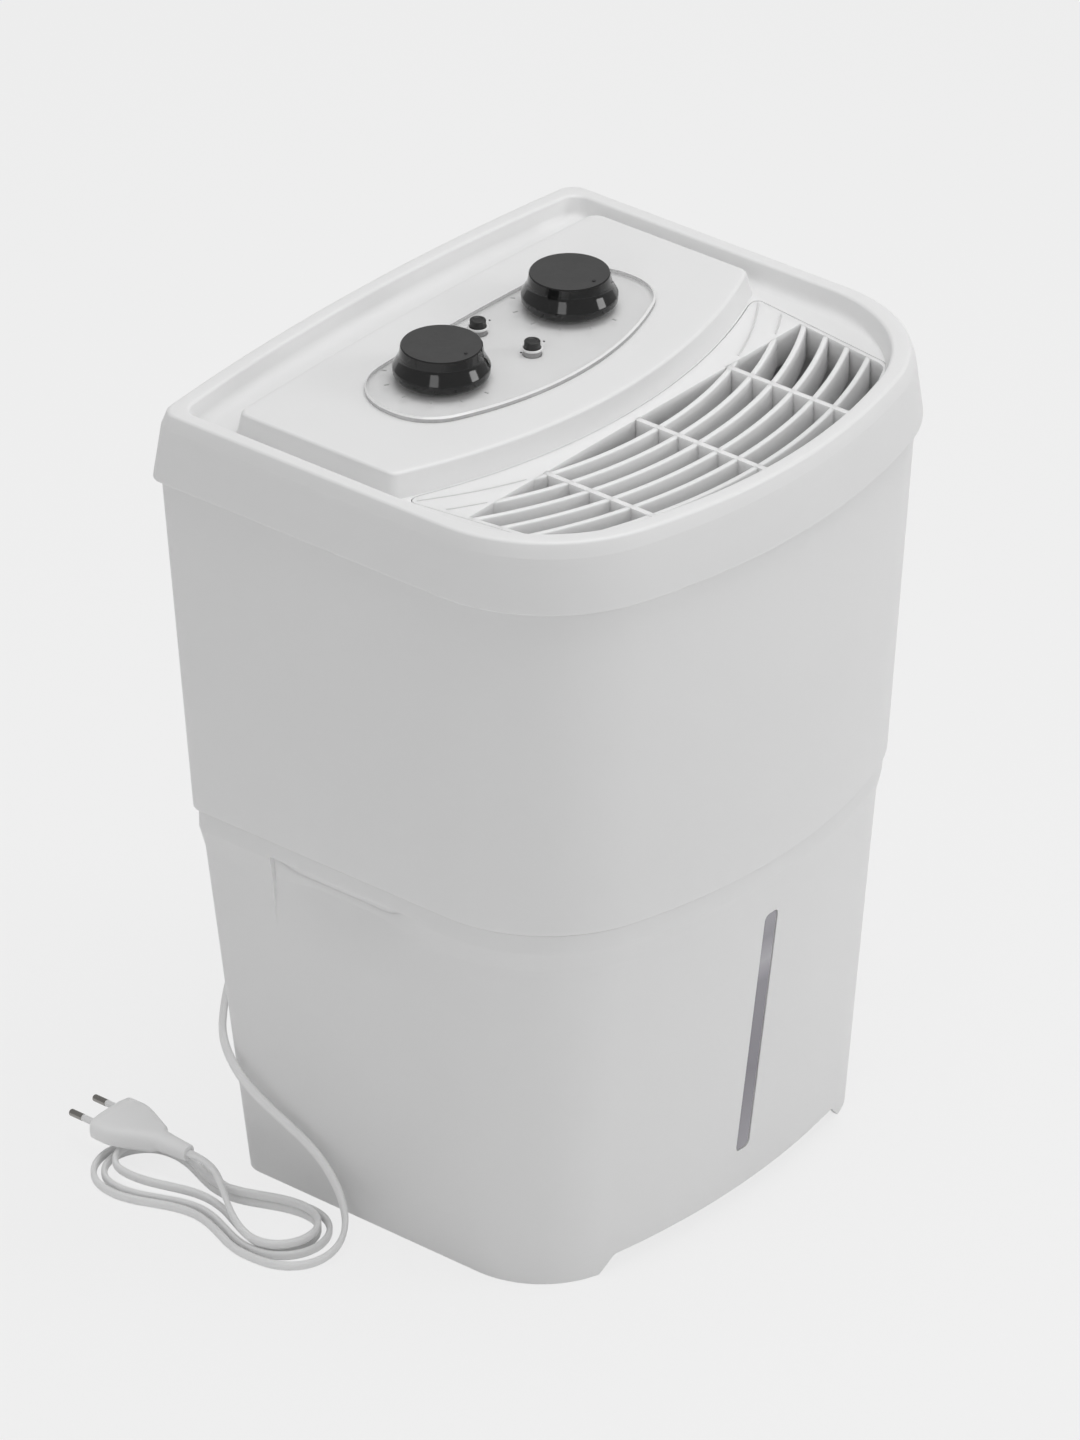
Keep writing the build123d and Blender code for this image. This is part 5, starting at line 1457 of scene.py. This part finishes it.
def route_line(controls):
    """Points read along a smooth spline with these controls."""
    curve = bpy.data.curves.new("lead_line", "CURVE")
    curve.dimensions = "3D"
    spline = curve.splines.new("NURBS")
    spline.points.add(len(controls) - 1)
    for point, (x, y, z) in zip(spline.points, controls):
        point.co = (x * MM, y * MM, z * MM, 1)
    spline.order_u = 3
    spline.use_endpoint_u = True
    spline.resolution_u = 6
    mesh = evaluated_mesh(linked("lead_line", curve))
    points = [v.co.copy() for v in mesh.vertices]
    bpy.data.meshes.remove(mesh)
    bpy.data.curves.remove(curve)
    return points


def twin_core():
    """Section of the flat lead: two cores side by side with a web between them."""
    section = []
    for i in range(CORD_STEPS):
        angle = 2 * math.pi * i / CORD_STEPS
        x = math.cos(angle)
        web = 1 - WEB_DEPTH * math.exp(-((x / WEB_WIDTH) ** 2))
        thick = CORD_RADIUS * CORD_FLATNESS * math.sin(angle) * web
        section.append((CORD_RADIUS * math.copysign(abs(x) ** CORE_POWER, x), thick))
    return section


def make_cord():
    """The flat lead as one tube: level at the gland and the plug, and on edge round the hank's turns."""
    points = route_line(lead_points() + hank_points())
    steps = [(b - a).length / MM for a, b in zip(points, points[1:])]
    length = sum(steps)
    rings = []
    across = Vector((1, 0, 0))
    run = 0.0
    for i, point in enumerate(points):
        ahead = points[min(i + 1, len(points) - 1)]
        behind = points[max(i - 1, 0)]
        along = (ahead - behind).normalized()
        level = along.cross(Vector((0, 0, 1)))
        if level.length > LEAD_STEEP:
            across = (across * (1 - LEAD_TURN) + level.normalized() * LEAD_TURN).normalized()
        across = (across - along * across.dot(along)).normalized()
        on_edge = min(1.0, run / LEAD_TWIST, (length - run) / PLUG_TWIST)
        wide = Quaternion(along, on_edge * math.pi / 2) @ across
        thin = wide.cross(along)
        rings.append([tuple(point / MM + wide * a + thin * b) for a, b in twin_core()])
        run += steps[i] if i < len(steps) else 0.0
    piece = new_piece("mains_lead", None, ["cord"], capped(rings), sharp=CORD_SHARP)
    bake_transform(piece)
    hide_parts("cord_lead", "cord_hank")


def make_plug():
    """Flat two-pin plug: a squared body that narrows into a round relief for the lead."""
    rings = []
    for start, wide, tall in PLUG_STATIONS:
        power = PLUG_POWER if start > 0 else RELIEF_POWER
        ring = []
        for c, s in circle((0, 0), 1.0, PLUG_STEPS):
            x = wide * math.copysign(abs(c) ** power, c)
            z = tall * math.copysign(abs(s) ** power, s)
            ring.append((PLUG_X + x, PLUG_REAR_Y + start, PLUG_Z + z))
        rings.append(ring)
    piece = new_piece("plug_shell", "tank", ["plug"], capped(rings), sharp=PLUG_SHARP)
    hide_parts("plug_body")
    return piece


def make_pins():
    """Pins with rounded tips, in white sleeves."""
    front = PLUG_REAR_Y + PLUG_LENGTH
    pieces = []
    for name, profile, finish, node in (
        ("pin_tips", PIN_TIP, "pin", "plug_pins"),
        ("pin_covers", PIN_SLEEVE, "sleeve", "pin_sleeves"),
    ):
        shapes = []
        vertices, faces = lathe(rounded(profile), (0, 0), PIN_STEPS)
        for side in (-1, 1):
            x = PLUG_X + side * PIN_SPACING / 2
            shapes.append(([(x + vx, front + vz, PLUG_Z + vy) for vx, vy, vz in vertices], faces))
        piece = new_piece(name, "tank", [finish], join(*shapes))
        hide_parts(node)
        pieces.append(piece)
    return pieces


# Finishes of the solids that show as they are

FLOAT_GUIDE = ["float_stem", "float_stops", "float_nut"]
SPINDLES = ["left_spindle", "right_spindle"]
NODE_FINISHES = {
    "inner": ["cassette_frame", "fan_deck", "fan_rotor", "terminal_block", *FLOAT_GUIDE],
    "zinc": ["motor_bracket", "motor_screws", "board_screws", "lid_screws", "motor_shaft", *SPINDLES],
    "motor": ["fan_motor"],
    "wick": ["front_pad", "rear_pad"],
    "filter": ["dust_filter"],
    "board": ["control_board"],
    "switch": ["speed_switch", "humidistat", "push_switches", "motor_lead"],
    "float": ["float"],
    "cord": ["cord_gland", "mains_tail"],
    "shell": ["intake_grille"],
    "button": ["left_pointer", "right_pointer"],
}


def dress_nodes():
    """Gives each of these solids its finish."""
    for key, nodes in NODE_FINISHES.items():
        for name in nodes:
            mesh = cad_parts[name].data
            mesh.materials.clear()
            mesh.materials.append(FINISHES[key].material)


# Stage


def make_stage():
    """White floor that glows a little to the camera and in reflections."""
    mesh = bpy.data.meshes.new("floor")
    corners = [(x * FLOOR_HALF, y * FLOOR_HALF, 0) for x, y in ((-1, -1), (1, -1), (1, 1), (-1, 1))]
    mesh.from_pydata(corners, [], [(0, 1, 2, 3)])
    floor = linked("floor", mesh)
    material = bpy.data.materials.new("floor_paper")
    material.use_nodes = True
    graph = Graph(material.node_tree)
    shader = material.node_tree.nodes["Principled BSDF"]
    shader.inputs["Base Color"].default_value = grey(FLOOR_TONE)
    shader.inputs["Roughness"].default_value = FLOOR_ROUGHNESS
    shader.inputs["Specular IOR Level"].default_value = 0.0
    glow = graph.node("ShaderNodeEmission", {"Color": grey(FLOOR_GLOW), "Strength": 1.0})
    rays = [graph.node("ShaderNodeLightPath", output=f"Is {kind} Ray") for kind in FLOOR_RAYS]
    seen = (rays[0] + rays[1] + rays[2]).least(1.0) * FLOOR_GLOW_SHARE
    mixed = graph.node("ShaderNodeMixShader", {0: seen, 1: Value(graph, shader.outputs[0]), 2: glow})
    graph.feed(material.node_tree.nodes["Material Output"].inputs["Surface"], mixed)
    mesh.materials.append(material)


def aimed(name, data, place, target):
    """New lamp or camera at a place, turned to a target."""
    made = linked(name, data)
    made.location = place
    made.rotation_euler = (Vector(target) - Vector(place)).to_track_quat("-Z", "Y").to_euler()
    return made


def make_light():
    """Even backdrop and soft boxes."""
    world = bpy.data.worlds.new("studio")
    world.use_nodes = True
    backdrop = world.node_tree.nodes["Background"]
    backdrop.inputs["Color"].default_value = grey(1.0)
    backdrop.inputs["Strength"].default_value = BACKDROP
    bpy.context.scene.world = world
    for name, (place, power, size) in LAMPS.items():
        lamp = bpy.data.lights.new(name, "AREA")
        lamp.energy = power
        lamp.size = size
        aimed(name, lamp, place, LAMP_TARGET)


def make_camera():
    """Camera of the photograph's view."""
    view = bpy.data.cameras.new("view")
    view.lens = CAMERA_LENS
    view.clip_end = CAMERA_REACH
    bpy.context.scene.camera = aimed("view", view, CAMERA_PLACE, CAMERA_TARGET)


make_lid()
make_casing()
make_tub_shell()
make_window()
make_grille()
make_vanes()
make_plate()
make_marks()
for side, hand in ((-1, "left"), (1, "right")):
    make_knob(side, hand)
for place in BUTTON_YS:
    make_button(place)
make_collars()
plug_pieces = [make_plug()] + make_pins()
make_cord()
dress_nodes()
make_stage()
make_light()
make_camera()
bpy.context.scene.view_settings.view_transform = "Standard"
